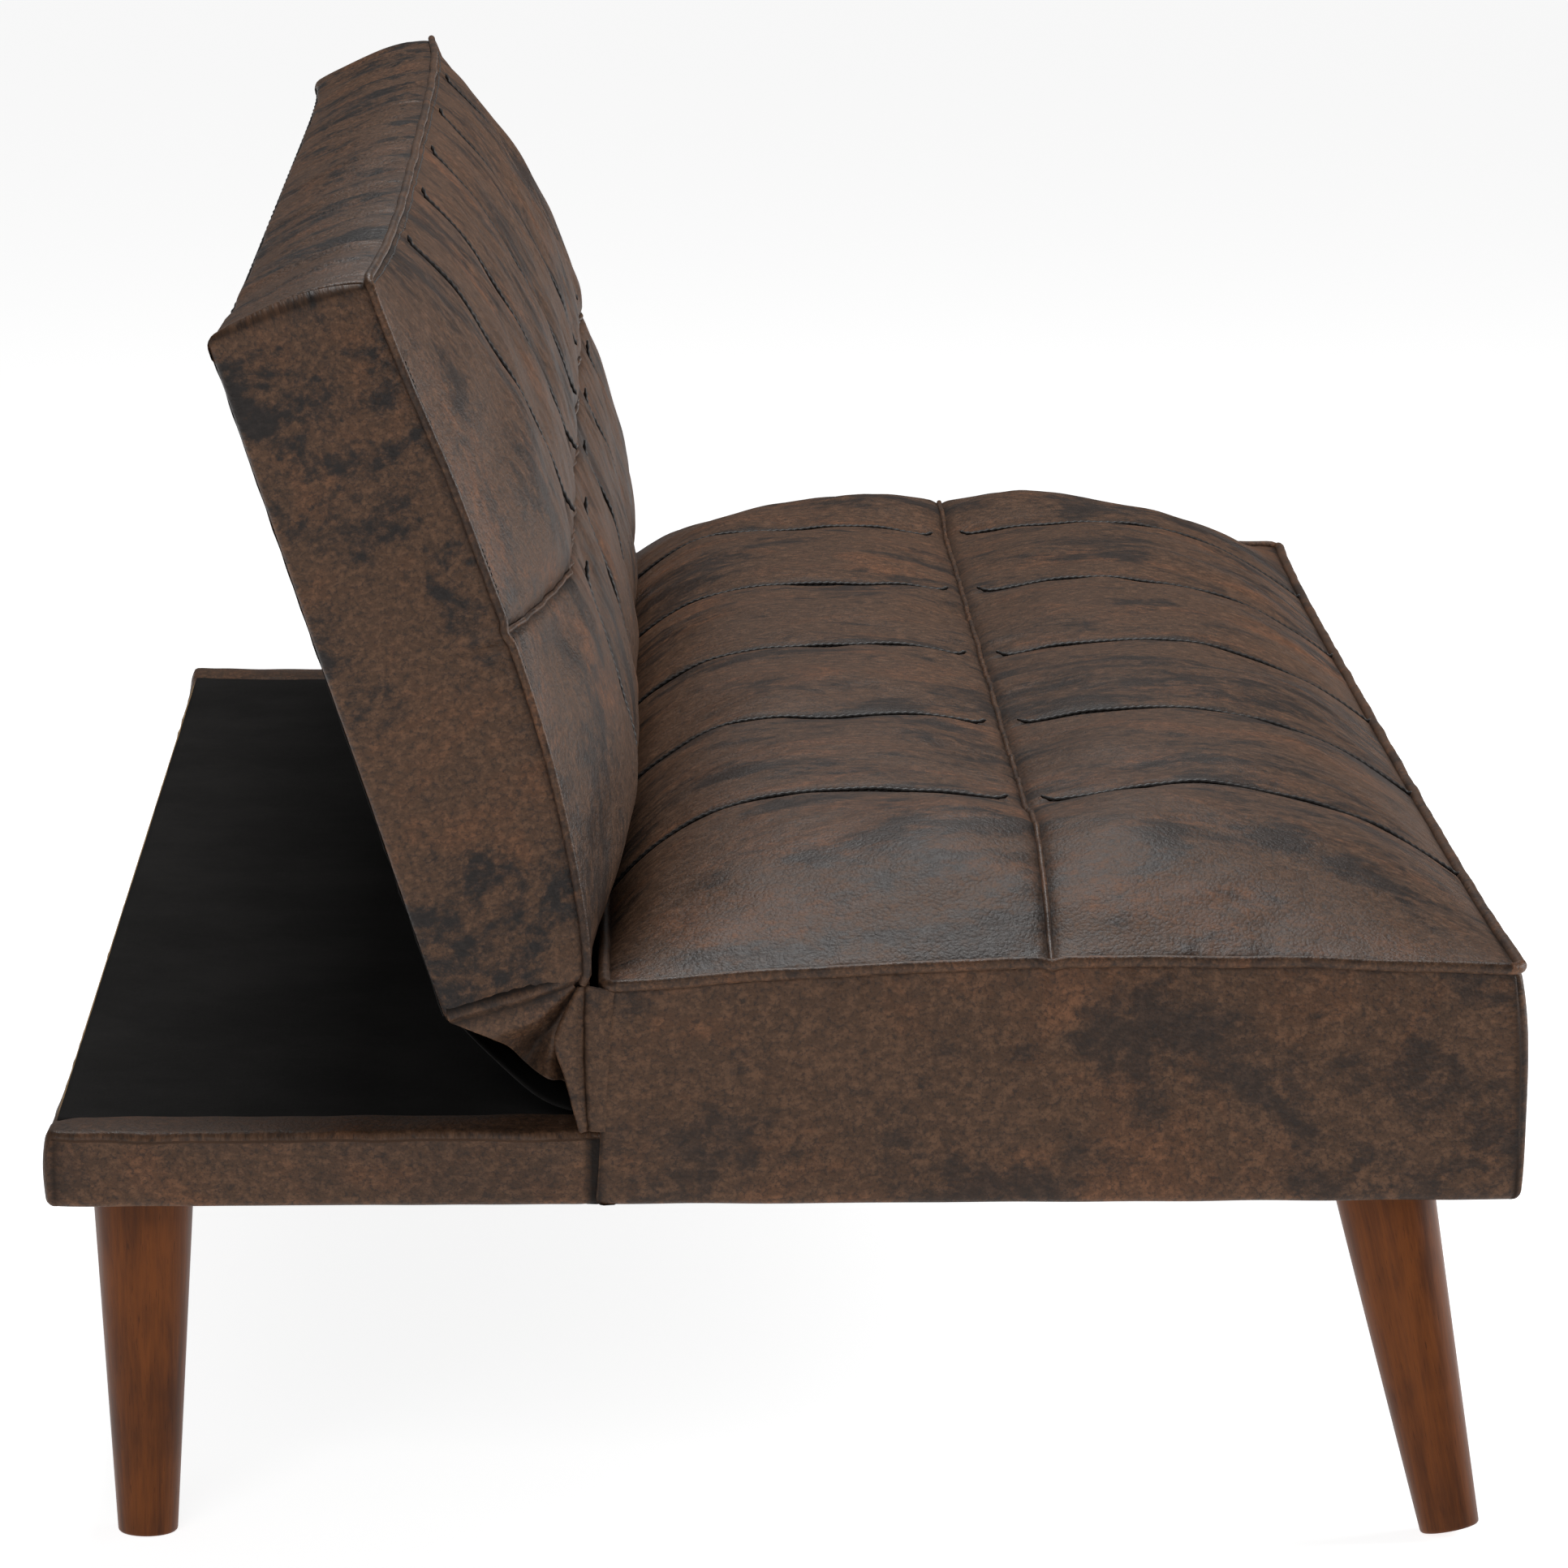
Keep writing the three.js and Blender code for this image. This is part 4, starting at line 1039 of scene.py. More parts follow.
def finish_and_shade_group():
    """The colour of the finish: patches, pits and rubbed edges, with painted shade in folds and seams."""
    group, nodes, given = new_group("Worn finish and painted shade", {
        "Colour": ("Color", (0.08, 0.05, 0.03, 1)), "Dark colour": ("Color", (0.02, 0.02, 0.02, 1)),
        "Warm colour": ("Color", (0.16, 0.07, 0.03, 1)), "Dark mask": ("Float", 0.0),
        "Warm mask": ("Float", 0.0), "Scuff": ("Float", 0.5), "Pits": ("Float", 0.0),
        "Crease": ("Float", 0.0), "Edge": ("Float", 0.0)},
        {"Colour": "Color", "Roughness": "Float"})
    if nodes is None:
        return group
    base = nodes.mix(given["Warm mask"], given["Colour"], given["Warm colour"])
    base = nodes.mix(given["Dark mask"], base, given["Dark colour"])
    shade = nodes.between(given["Scuff"], 0.0, 1.0, 0.70, 1.30)
    tone = nodes.grey(shade)
    base = nodes.mix(1.0, base, tone, "MULTIPLY")
    base = nodes.mix(nodes.times(given["Pits"], 0.6), base, given["Dark colour"])
    # Painted shade: grooves, seams and hollows darkened nearly to black.
    deep = nodes.times(given["Crease"], 0.93, True)
    base = nodes.mix(deep, base, (0.004, 0.0028, 0.0024, 1))
    rough = nodes.plus(0.47, nodes.times(given["Scuff"], 0.12))
    rough = nodes.less(rough, nodes.times(given["Edge"], 0.10))
    rough = nodes.less(rough, nodes.times(given["Dark mask"], 0.06))
    rough = nodes.plus(rough, nodes.times(given["Crease"], 0.25), True)
    close_group(nodes, {"Colour": base, "Roughness": rough})
    return group


def weave_group():
    """Pressed fibres of a non-woven cloth."""
    group, nodes, given = new_group("Pressed fibres", {
        "Vector": ("Vector", None), "Colour": ("Color", (0.01, 0.01, 0.01, 1))},
        {"Colour": "Color", "Height": "Float"})
    if nodes is None:
        return group
    vector = given["Vector"]
    long_way = nodes.noise(nodes.stretched(vector, (1, 7, 1)), 260.0, 4, 0.7, 1.2)
    cross_way = nodes.noise(nodes.stretched(vector, (6, 1, 1), (4, 2, 0)), 260.0, 4, 0.7, 1.2)
    fibres = nodes.maths("MAXIMUM", long_way, cross_way)
    dots = nodes.add("ShaderNodeTexVoronoi", {"Vector": vector, "Scale": 330.0, "Randomness": 0.25},
                     feature="F1").outputs["Distance"]
    dust = nodes.noise(vector, 11.0, 5, 0.6)
    light = nodes.plus(nodes.between(fibres, 0.45, 0.8, 0.75, 1.45),
                        nodes.between(dust, 0.3, 0.75, -0.15, 0.3))
    tone = nodes.grey(light)
    height = nodes.plus(nodes.times(fibres, 0.6), nodes.times(dots, 0.5))
    close_group(nodes, {"Colour": nodes.mix(1.0, given["Colour"], tone, "MULTIPLY"), "Height": height})
    return group


def new_material(name):
    """The material of that name, and its nodes if they are still to be made."""
    material = bpy.data.materials.get(name)
    if material:
        return material, None, None
    material = bpy.data.materials.new(name)
    material.use_nodes = True
    tree = material.node_tree
    tree.nodes.clear()
    nodes = Nodes(tree)
    shader = nodes.add("ShaderNodeBsdfPrincipled")
    output = nodes.add("ShaderNodeOutputMaterial")
    tree.links.new(shader.outputs[0], output.inputs[0])
    return material, nodes, shader


def set_shader(nodes, shader, **values):
    """Give the shader's sockets links or values; their names have _ for a space."""
    for key, value in values.items():
        nodes.put(shader.inputs[key.replace("_", " ")], value)


def bump(nodes, shader, height, strength, distance):
    node = nodes.add("ShaderNodeBump", {"Strength": strength, "Distance": distance, "Height": height})
    nodes.tree.links.new(node.outputs[0], shader.inputs["Normal"])


def rgba(value):
    return (*value, 1.0)


def leather(name, stretch=(1.0, 1.0, 1.0), size=1.0, dark=0.8, warm=0.7, cells=420.0, relief=0.55,
            offset=(0.0, 0.0, 0.0)):
    """Distressed leatherette; stretch draws the patches out along one way of the cover."""
    material, nodes, shader = new_material(name)
    if nodes is None:
        return material
    finish = bpy.context.scene.sofa_finish
    lay = nodes.value_of("lay", "Vector")
    drawn = nodes.stretched(lay, stretch, offset)
    mottle = nodes.group(mottle_group(), Vector=drawn, Size=size, Dark=dark, Warm=warm)
    grain = nodes.group(grain_group(), Vector=lay, Cells=cells)
    # The finish, with the painted shade of grooves and seams that each mesh carries.
    finish_and_shade = nodes.group(finish_and_shade_group(), Colour=rgba(finish.leather), Dark_colour=rgba(finish.leather_dark),
                       Warm_colour=rgba(finish.leather_warm), Dark_mask=mottle["Dark mask"],
                       Warm_mask=mottle["Warm mask"], Scuff=mottle["Scuff"], Pits=grain["Pits"],
                       Crease=nodes.value_of("crease_shade"), Edge=nodes.value_of("wear"))
    set_shader(nodes, shader, Base_Color=finish_and_shade["Colour"], Roughness=finish_and_shade["Roughness"],
               Specular_IOR_Level=0.20)
    bump(nodes, shader, grain["Height"], relief, 0.0010)
    return material


def black_cloth():
    material, nodes, shader = new_material("pressed_cloth")
    if nodes:
        finish = bpy.context.scene.sofa_finish
        cloth = nodes.group(weave_group(), Vector=nodes.value_of("lay", "Vector"),
                            Colour=rgba(finish.cloth))
        set_shader(nodes, shader, Base_Color=cloth["Colour"], Roughness=0.93, Specular_IOR_Level=0.1)
        bump(nodes, shader, cloth["Height"], 0.35, 0.0004)
    return material


def wood(name, light, dark, attribute, gloss):
    """Wood with its grain along the third way of the vector."""
    material, nodes, shader = new_material(name)
    if nodes is None:
        return material
    vector = (nodes.value_of(attribute, "Vector") if attribute
              else nodes.object_place())
    long_grain = nodes.stretched(vector, (1, 1, 0.085))
    rings = nodes.noise(long_grain, 62.0, 5, 0.62, 1.1)
    streak = nodes.noise(nodes.stretched(vector, (1, 1, 0.02)), 420.0, 3, 0.7)
    cloud = nodes.noise(vector, 17.0, 3, 0.5, 0.4)
    tone = nodes.plus(nodes.times(rings, 0.55), nodes.times(streak, 0.25))
    tone = nodes.plus(tone, nodes.times(cloud, 0.3))
    pores = nodes.between(nodes.noise(nodes.stretched(vector, (1, 1, 0.05)), 1150.0, 2, 0.6),
                          0.62, 0.74, 0.0, 0.55)
    base = nodes.mix(nodes.between(tone, 0.40, 0.70), rgba(dark), rgba(light))
    base = nodes.mix(pores, base, rgba([c * 0.35 for c in dark]))
    set_shader(nodes, shader, Base_Color=base, Specular_IOR_Level=0.15,
               Roughness=nodes.between(streak, 0.3, 0.7, gloss, gloss + 0.12))
    bump(nodes, shader, nodes.less(tone, pores), 0.12, 0.0004)
    return material


def thread_material():
    material, nodes, shader = new_material("seam_thread")
    if nodes:
        finish = bpy.context.scene.sofa_finish
        vector = nodes.object_place()
        fuzz = nodes.noise(vector, 1400.0, 3, 0.7)
        tone = nodes.mix(nodes.between(fuzz, 0.35, 0.7), rgba([c * 0.5 for c in finish.thread]),
                         rgba([c * 2.0 for c in finish.thread]))
        set_shader(nodes, shader, Base_Color=tone, Roughness=0.55)
        bump(nodes, shader, fuzz, 0.3, 0.0003)
    return material


def steel_material():
    material, nodes, shader = new_material("bright_steel")
    if nodes:
        vector = nodes.object_place()
        brushed = nodes.noise(nodes.stretched(vector, (1, 1, 0.05)), 900.0, 3, 0.6)
        dull = nodes.noise(vector, 60.0, 4, 0.6)
        finish = bpy.context.scene.sofa_finish
        tone = nodes.mix(nodes.between(dull, 0.35, 0.7), rgba(finish.steel),
                         rgba([c * 0.6 for c in finish.steel]))
        set_shader(nodes, shader, Base_Color=tone, Roughness=nodes.between(dull, 0.3, 0.7, 0.32, 0.5),
                   Metallic=1.0)
        bump(nodes, shader, brushed, 0.15, 0.0002)
    return material


# ---- pieces --------------------------------------------------------------------------------------

blocks = {}  # the upholstered blocks that have been made, which later pieces lie on


def made_block(name):
    if name not in blocks:
        raise RuntimeError(f"make the {name} before what is sewn to it")
    return blocks[name]


def solid_values(points, crease_shade=0.0, wear=0.0):
    """Surface values of a piece whose finish follows its own place."""
    count = len(points)
    return {"lay": points, "crease_shade": np.broadcast_to(crease_shade, (count,)),
            "wear": np.broadcast_to(wear, (count,))}


def cushion(name, block, step, body, nodes, panel, border):
    blocks[name.split("_")[0]] = block
    piece = block.make(name, [panel, border], step)
    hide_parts(*nodes)
    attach(piece, body)


def cord_values(path, radius, up, points, sides):
    """Painted shade where a cord meets the cushion; rubbed on its crown."""
    centre = np.repeat(path, sides, axis=0)
    lift = np.sum((points - centre) * np.repeat(up, sides, axis=0), 1) / radius
    return solid_values(points, np.clip(-lift, 0, 1) ** 2 * 0.7, np.clip(lift, 0, 1) ** 2)


def cord(name, path, up, size, radius, sides, closed, material):
    """A covered cord along a path, lying with its up side away from the cushion."""
    across, up, _ = side_frames(path, up, closed)
    points, faces = tube(path, across, up, size, closed, sides)
    piece = new_piece(name, points, faces, [material],
                      values=cord_values(path, radius, up, points, sides))
    return piece


def piping(name, block, radius, material, seed, node, body):
    """The piping round a cushion's panel."""
    closed = np.concatenate([block.rim, block.rim[:1]])
    outward = np.concatenate([block.outward, block.outward[:1]])
    total = line_lengths(closed)[-1]
    at = np.arange(0, total, PIPING_STEP)[:-1]
    path, out_way = along_path(closed, at, outward)
    out_way = unit(out_way)
    path = path + out_way * PIPING_OUT + block.N * PIPING_LIFT
    path += out_way * (0.0002 * ripple(seed, at, 0.08))[:, None]
    path += block.N * (0.0003 * ripple(seed + 1, at, 0.11))[:, None]
    up = unit(block.N[None, :] + out_way * 0.8)
    size = radius * (1 + 0.025 * ripple(seed + 2, at, 0.03))
    piece = cord(name, path, up, size, radius, PIPING_SIDES, True, material)
    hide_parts(node)
    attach(piece, body)


def welt(name, block, material, seed, node, body):
    """The cord across a cushion's middle, from piping to piping."""
    reach = block.half + WELT_PAST
    x = np.linspace(-reach, reach, WELT_POINTS)
    path = block.read(x, np.full_like(x, block.welt)) + block.N * WELT_LIFT
    path += block.N * (0.0004 * ripple(seed, x, 0.05))[:, None]
    up = np.broadcast_to(block.N, path.shape)
    size = WELT_RADIUS * (1 + 0.05 * ripple(seed + 1, line_lengths(path), 0.015))
    piece = cord(name, path, up, size, WELT_RADIUS, WELT_SIDES, False, material)
    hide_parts(node)
    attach(piece, body)


def seam_threads(name, block, material, body):
    """A twisted thread in each channel's seam, as far as the seam goes."""
    parts = []
    s = np.linspace(0, block.length, 400)
    strength = block.seam_strength(s) > 0.3
    for half in (s < block.welt, s >= block.welt):
        reach = s[strength & half]
        for mark in block.marks:
            path = block.read(np.full_like(reach, mark), reach) + block.N * THREAD_LIFT
            up = np.broadcast_to(block.N, path.shape)
            parts.append(twisted_thread(path, up, THREAD_RADIUS, THREAD_PITCH))
    piece = new_piece(name, *joined(parts), [material])
    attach(piece, body)


def topstitching(name, block, inset, material, body):
    """Stitches just inside the piping, along each side of a panel."""
    parts = []
    keep = inset + 0.006
    x = np.linspace(-block.half + keep, block.half - keep, 900)
    s = np.linspace(keep, block.length - keep, 260)
    for s_at in (inset, block.length - inset):
        parts.append(block.read(x, np.full_like(x, s_at)))
    for x_at in (inset - block.half, block.half - inset):
        parts.append(block.read(np.full_like(s, x_at), s))
    made = [stitches(path + block.N * 0.0002, np.broadcast_to(block.N, path.shape), STITCH_LENGTH,
                     STITCH_GAP, STITCH_RADIUS) for path in parts]
    piece = new_piece(name, *joined(made), [material])
    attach(piece, body)


def face_out(piece):
    """Turn a closed mesh's faces outwards."""
    mesh = bmesh.new()
    mesh.from_mesh(piece.data)
    bmesh.ops.recalc_face_normals(mesh, faces=mesh.faces)
    mesh.to_mesh(piece.data)
    mesh.free()
    return piece


def thin_cloth(name, top, normal, thickness, material):
    """A closed sheet from a grid of points, facing outwards; normal points away from its back."""
    rows, columns = top.shape[:2]
    count = rows * columns
    points = np.concatenate([top.reshape(-1, 3), (top - normal * thickness).reshape(-1, 3)])
    faces = grid_faces(rows, columns)
    faces += [[v + count for v in face[::-1]] for face in faces]
    i, j = rim_of(rows, columns)
    a = i * columns + j
    b = np.roll(a, -1)
    faces += np.stack([a, a + count, b + count, b], 1).tolist()
    lay = top.reshape(-1, 3)
    piece = new_piece(name, points, faces, [material],
                      values=solid_values(np.concatenate([lay, lay])))
    return face_out(piece)


def ledge_top_cloth(ledge, material):
    x = np.linspace(-ledge.half + ledge.strip - 0.006, ledge.half - ledge.strip + 0.006, 190)
    s = np.linspace(0.0006, ledge.length - 0.0045, 46)
    grid_x, grid_s = np.meshgrid(x, s, indexing="ij")
    inside = np.clip(grid_x, -ledge.half + ledge.strip + 0.004, ledge.half - ledge.strip - 0.004)
    lift = ledge.lift(inside, grid_s) + 0.0006 + 0.00025 * drift(61, grid_x, grid_s, 0.13)
    top = ledge.place(grid_x, grid_s, lift)
    piece = thin_cloth("ledge_top_cloth", top, ledge.N, CLOTH_THICK, material)
    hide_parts("ledge_cloth")
    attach(piece, "base")


def back_rear_cloth(back, material):
    total = back.far_length()
    inset = 0.005
    x = np.linspace(-back.half + inset, back.half - inset, 200)
    s = np.linspace(inset, total - inset, 60)
    grid_x, grid_s = np.meshgrid(x, s, indexing="ij")
    ear_x, ear_s, ear_down = back.ears(grid_x, grid_s, total)
    edge = np.minimum(back.half - np.abs(grid_x), np.minimum(grid_s, total - grid_s))
    slack = 0.0006 * drift(62, grid_x, grid_s, 0.19) * smooth(edge, 0.005, 0.08)
    lift = -back.depth(grid_s) - ear_down - 0.0007 + slack
    lift += 0.0004 * np.exp(-edge / 0.02) * ripple(63, grid_x + grid_s, 0.03)
    top = back.place(grid_x + ear_x, grid_s + ear_s, lift)
    piece = thin_cloth("back_rear_cloth", top, -back.N, CLOTH_THICK, material)
    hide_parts("back_cloth")
    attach(piece, "backrest")


def base_dust_cloth(material):
    low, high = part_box("dust_cover")
    inset = 0.004
    x = np.linspace(low.x + inset, high.x - inset, 150)
    y = np.linspace(low.y + inset, high.y - inset, 80)
    grid_x, grid_y = np.meshgrid(x, y, indexing="ij")
    edge = np.minimum(high.x - np.abs(grid_x), np.minimum(grid_y - low.y, high.y - grid_y))
    sag = 0.0002 * np.abs(drift(64, grid_x, grid_y, 0.4)) * smooth(edge, 0.004, 0.15)
    top = np.stack([grid_x, grid_y, np.full_like(grid_x, FLOOR_GAP + 0.0002) - sag], -1)
    up = np.array([0, 0, 1.0])
    piece = thin_cloth("base_dust_cloth", top, up, CLOTH_THICK, material)
    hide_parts("dust_cover")
    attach(piece, "base")


def bezier(a, b, c, t):
    return np.outer((1 - t) ** 2, a) + np.outer(2 * t * (1 - t), b) + np.outer(t**2, c)


def hinge_gap_web(material):
    """Slack cloth that closes the gap behind the seat, below the backrest."""
    low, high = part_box("hinge_web")
    t = np.linspace(0, 1, 44)
    line = bezier((low.y + 0.0032, low.z + 0.0014), (0.150, 0.262), (high.y, high.z - 0.0012), t)
    x = np.linspace(low.x - 0.001, high.x + 0.001, 220)
    grid_x, grid_t = np.meshgrid(x, t, indexing="ij")
    way = np.gradient(line, axis=0)
    way /= np.linalg.norm(way, axis=1, keepdims=True)
    normal = np.stack([0 * t, -way[:, 1], way[:, 0]], 1)
    slack = np.sin(np.pi * grid_t) * (0.0018 * drift(65, grid_x, grid_t * 0.08, 0.10)
                                      + 0.0010 * ripple(66, grid_x, 0.045))
    top = np.stack([grid_x, np.broadcast_to(line[:, 0], grid_x.shape),
                    np.broadcast_to(line[:, 1], grid_x.shape)], -1) + slack[..., None] * normal
    piece = thin_cloth("hinge_gap_web", top, normal[None, :, :], WEB_THICK, material)
    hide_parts("hinge_web")
    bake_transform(piece)


# Lines that the gusset's folds run along, from the hinge to its free edge. Each has four points:
# distance behind the sofa's middle, height, and how far out from the covers' ends, in millimetres.
GUSSET_FOLDS = (
    ((98.5, 334, -1.2), (98.5, 306, -0.4), (98.5, 280, -0.4), (99, 253, -1.0)),  # under the seat's end
    ((104, 336, 0.2), (104, 307, 1.3), (104.5, 280, 1.2), (106, 252.5, 0.3)),
    ((112.5, 337.5, 0), (113, 307, 0.8), (112.5, 280, 0.6), (111.5, 252.5, -0.4)),
    ((115.6, 338, -3), (116.2, 307, -2.6), (115.8, 280, -2.6), (114.5, 252.5, -3)),  # seam
    ((116.6, 337.6, -1.5), (118.2, 307, -0.2), (117.4, 280, -0.4), (115.4, 252.4, -1.2)),
    ((117.6, 337.2, -1), (124, 308, 0.9), (121, 281, 0.5), (116.6, 252.3, -0.8)),  # strip
    ((118.6, 336.8, -1.5), (131.5, 307, -0.6), (126, 283, -0.6), (118.5, 252.4, -1.4)),
    ((119, 336.4, -3), (131.2, 307.4, -8), (126.4, 285, -8), (120.5, 262, -4)),  # turned under
    ((119.5, 336.2, -4), (129.5, 309, -16), (128.6, 292, -24), (127, 277.5, -18)),
    ((120, 336.2, -4), (131, 310.5, -16), (134.5, 295.5, -17), (137, 281.8, -8)),  # lower flap
    ((120.5, 336.3, -4), (134, 313, -16), (142, 301.5, -26), (150.5, 288.5, -25)),  # pocket
    ((121, 336.6, -4), (137, 316.5, -10), (148, 307.5, -14), (159.5, 300, -14)),
    ((121.4, 337, -3), (139.5, 320.5, -4.6), (154, 313, -5), (170, 306.8, -5.5)),  # upper flap
    ((121.6, 337.6, -2.5), (141.5, 325, -2.6), (160.5, 317.8, -2.6), (182, 312, -3.2)),
    ((121.6, 338.6, -3), (143, 330.3, -1.6), (167, 323, -1.2), (191.5, 316.2, -2.4)),  # crease
    ((121, 342, -0.5), (142.5, 334.5, 2.2), (168, 327.3, 2.9), (194, 319.6, 1.0)),
    ((120.5, 345, 0), (141.5, 338.6, 1.7), (168.5, 331, 2.4), (194.5, 323.4, 0.4)),  # crease
    ((120, 347.5, -2), (141.8, 341.4, -0.5), (169, 333.8, 0), (194.6, 326, -1.6)),  # under the back
)
# Painted shade along each fold line above: dark in the seam, the turned-under folds, the pocket, the
# folds' valleys and under the back. Then how rubbed and smooth each line is.
GUSSET_SHADE = (0, 0, 0.15, 1, 0.2, 0, 0.1, 0.5, 0.8, 0.15, 0.8, 0.35, 0, 0, 0.8, 0, 0.95, 1)
GUSSET_SHINE = (0, 0.1, 0.3, 0, 0.3, 0.5, 0.9, 0.1, 0, 1, 0, 0.3, 0.9, 0.8, 0, 0.35, 0, 0)


def grid_normals(grid):
    along = np.gradient(grid, axis=0)
    across = np.gradient(grid, axis=1)
    return unit(np.cross(along, across))


def gusset(word, side, material):
    """A folded fan of cover leather that closes one end of the hinge gap."""
    folds = np.array(GUSSET_FOLDS)
    count = len(folds)
    u = np.linspace(0, count - 1, (count - 1) * 7 + 1)
    v = np.linspace(0, 3, 46)
    read_u, read_v = weights(u, count), weights(v, 4)
    grid = np.einsum("ua,abk,vb->uvk", read_u, folds, read_v) * MM
    y, z, out = grid[..., 0], grid[..., 1], grid[..., 2]
    middle = np.sin(np.pi * v / 3)[None, :] * np.ones((len(u), 1))
    fold_like = np.clip((u[:, None] - 4) / 3, 0, 1)
    out = out + 0.0005 * drift(71 + side, y, z, 0.028) * middle * fold_like
    out = out + 0.0004 * drift(75 + side, y * 2, z, 0.013) * middle * fold_like
    out = out + 0.0005 * ripple(77 + side, z, 0.02) * np.exp(-((u[:, None] - 2.4) / 1.2) ** 2)
    top = np.stack([side * (END + out), y, z], -1)
    normal = grid_normals(top) * (1 if side > 0 else -1)
    crease_shade = np.interp(u, np.arange(count), GUSSET_SHADE)
    shine = np.interp(u, np.arange(count), GUSSET_SHINE)
    piece = thin_cloth(f"gusset_fold_{word}", top, normal, GUSSET_THICK, material)
    # Painted shade of the folds, and how rubbed each is.
    for key, value in (("crease_shade", crease_shade), ("wear", shine)):
        spread = np.broadcast_to(value[:, None], (len(u), len(v))).ravel()
        piece.data.attributes[key].data.foreach_set("value", np.tile(spread, 2).astype(np.float32))
    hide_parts(f"gusset_{word}")
    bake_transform(piece)


LEG_TOP, LEG_FOOT, LEG_ROUND, BOLT_HOLE, BOLT_DEPTH = 0.0295, 0.0175, 0.002, 0.0046, 0.036


def turned_leg(word, number, material):
    """A tapered round leg with its foot's edge rounded and a hole for its bolt."""
    node = f"leg_{word}"
    corners = np.array([v.co for v in frame["nodes"][node].data.vertices])
    top = corners[corners[:, 2] > corners[:, 2].max() - 1e-4].mean(0)
    foot = corners[corners[:, 2] < 0.012].mean(0)
    axis = (top - foot) / np.linalg.norm(top - foot)
    lean = math.acos(axis[2])
    foot = top - axis * (top[2] - (LEG_FOOT - LEG_ROUND) * math.sin(lean)) / axis[2]
    across = unit(np.cross(axis, [0, 1.0, 0]))
    other = np.cross(axis, across)
    sides = 72
    turn = np.linspace(0, 2 * np.pi, sides, endpoint=False)
    ring = np.outer(np.cos(turn), across) + np.outer(np.sin(turn), other)
    level = -ring[:, 2] / axis[2]  # along the axis, to bring a ring's points level
    length_ = np.linalg.norm(top - foot)
    rings, lay = [], []

    def put(distance, radius, levelled=0.0):
        along = distance + level * radius * levelled
        rings.append(foot + ring * radius + axis * along[:, None])
        lay.append(np.stack([np.cos(turn) * radius + 0.37 * number, np.sin(turn) * radius, along], 1))

    for radius in (0.004, 0.010, LEG_FOOT - LEG_ROUND):
        put(0.0, radius)
    for turned in (30, 60, 90):
        angle = math.radians(turned)
        put(LEG_ROUND * (1 - math.cos(angle)), LEG_FOOT - LEG_ROUND * (1 - math.sin(angle)))
    for t in np.linspace(0, 1, 26)[1:]:
        put(LEG_ROUND + (length_ - LEG_ROUND) * t, LEG_FOOT + (LEG_TOP - LEG_FOOT) * t, t**3)
    put(length_, LEG_TOP - 0.0006, 1.0)
    put(length_, BOLT_HOLE, 1.0)
    put(length_ - BOLT_DEPTH, BOLT_HOLE)
    faces = ring_faces(len(rings), sides)
    last = (len(rings) - 1) * sides
    faces += [list(range(sides)), [last + v for v in range(sides)][::-1]]
    piece = face_out(new_piece(f"turned_leg_{word}", np.concatenate(rings), faces, [material],
                               values={"lay": np.concatenate(lay)}))
    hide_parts(node)
    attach(piece, "base")


# ---- operators -----------------------------------------------------------------------------------

def leathers(name):
    """The finish of each leather piece, with its own patches."""
    table = {
        "seat_panel": dict(stretch=(1.0, 0.55, 1.0), size=0.85, dark=0.8, warm=0.75),
        "seat_border": dict(stretch=(0.8, 1.0, 1.0), size=0.8, dark=0.65, warm=0.55,
                            offset=(4.0, 1.0, 0)),
        "back_panel": dict(stretch=(1.0, 0.6, 1.0), size=0.9, dark=0.75, warm=0.85,
                           offset=(2.0, 5.0, 0)),
        "back_border": dict(stretch=(1.0, 0.9, 1.0), size=1.0, dark=0.95, warm=0.45,
                            offset=(7.0, 3.0, 0)),
        "piping": dict(size=1.3, dark=0.6, warm=0.6, cells=520.0, relief=0.35),
        "ledge": dict(stretch=(0.8, 1.0, 1.0), size=0.85, dark=0.3, warm=0.5, offset=(9.0, 2.0, 0)),
        "gusset": dict(size=1.2, dark=0.7, warm=0.6, relief=0.35),
    }
    return leather(f"leather_{name}", **table[name])


class SOFA_OT_seat(bpy.types.Operator):
    """Channelled seat cushion with its borders"""
    bl_idname = "sofa.seat"
    bl_label = "Seat cushion"

    def execute(self, context):
        sizes = context.scene.sofa_cushions
        cushion("seat_cushion", Seat(sizes), sizes.fine, "base", ("seat_cover", "seat_foam"),
                leathers("seat_panel"), leathers("seat_border"))
        return {"FINISHED"}


class SOFA_OT_back(bpy.types.Operator):
    """Channelled backrest cushion with its borders"""
    bl_idname = "sofa.back"
    bl_label = "Backrest cushion"

    def execute(self, context):
        sizes = context.scene.sofa_cushions
        cushion("back_cushion", Back(sizes), sizes.fine, "backrest", ("back_cover", "back_foam"),
                leathers("back_panel"), leathers("back_border"))
        return {"FINISHED"}


class SOFA_OT_ledge(bpy.types.Operator):
    """Leather band of the ledge, with a padded strip over each end"""
    bl_idname = "sofa.ledge"
    bl_label = "Ledge band"

    def execute(self, context):
        sizes = context.scene.sofa_cushions
        cushion("ledge_cover", Ledge(), sizes.fine, "base", ("ledge_band",), leathers("ledge"),
                leathers("ledge"))
        return {"FINISHED"}


CUSHIONS = (("seat", "base"), ("back", "backrest"))


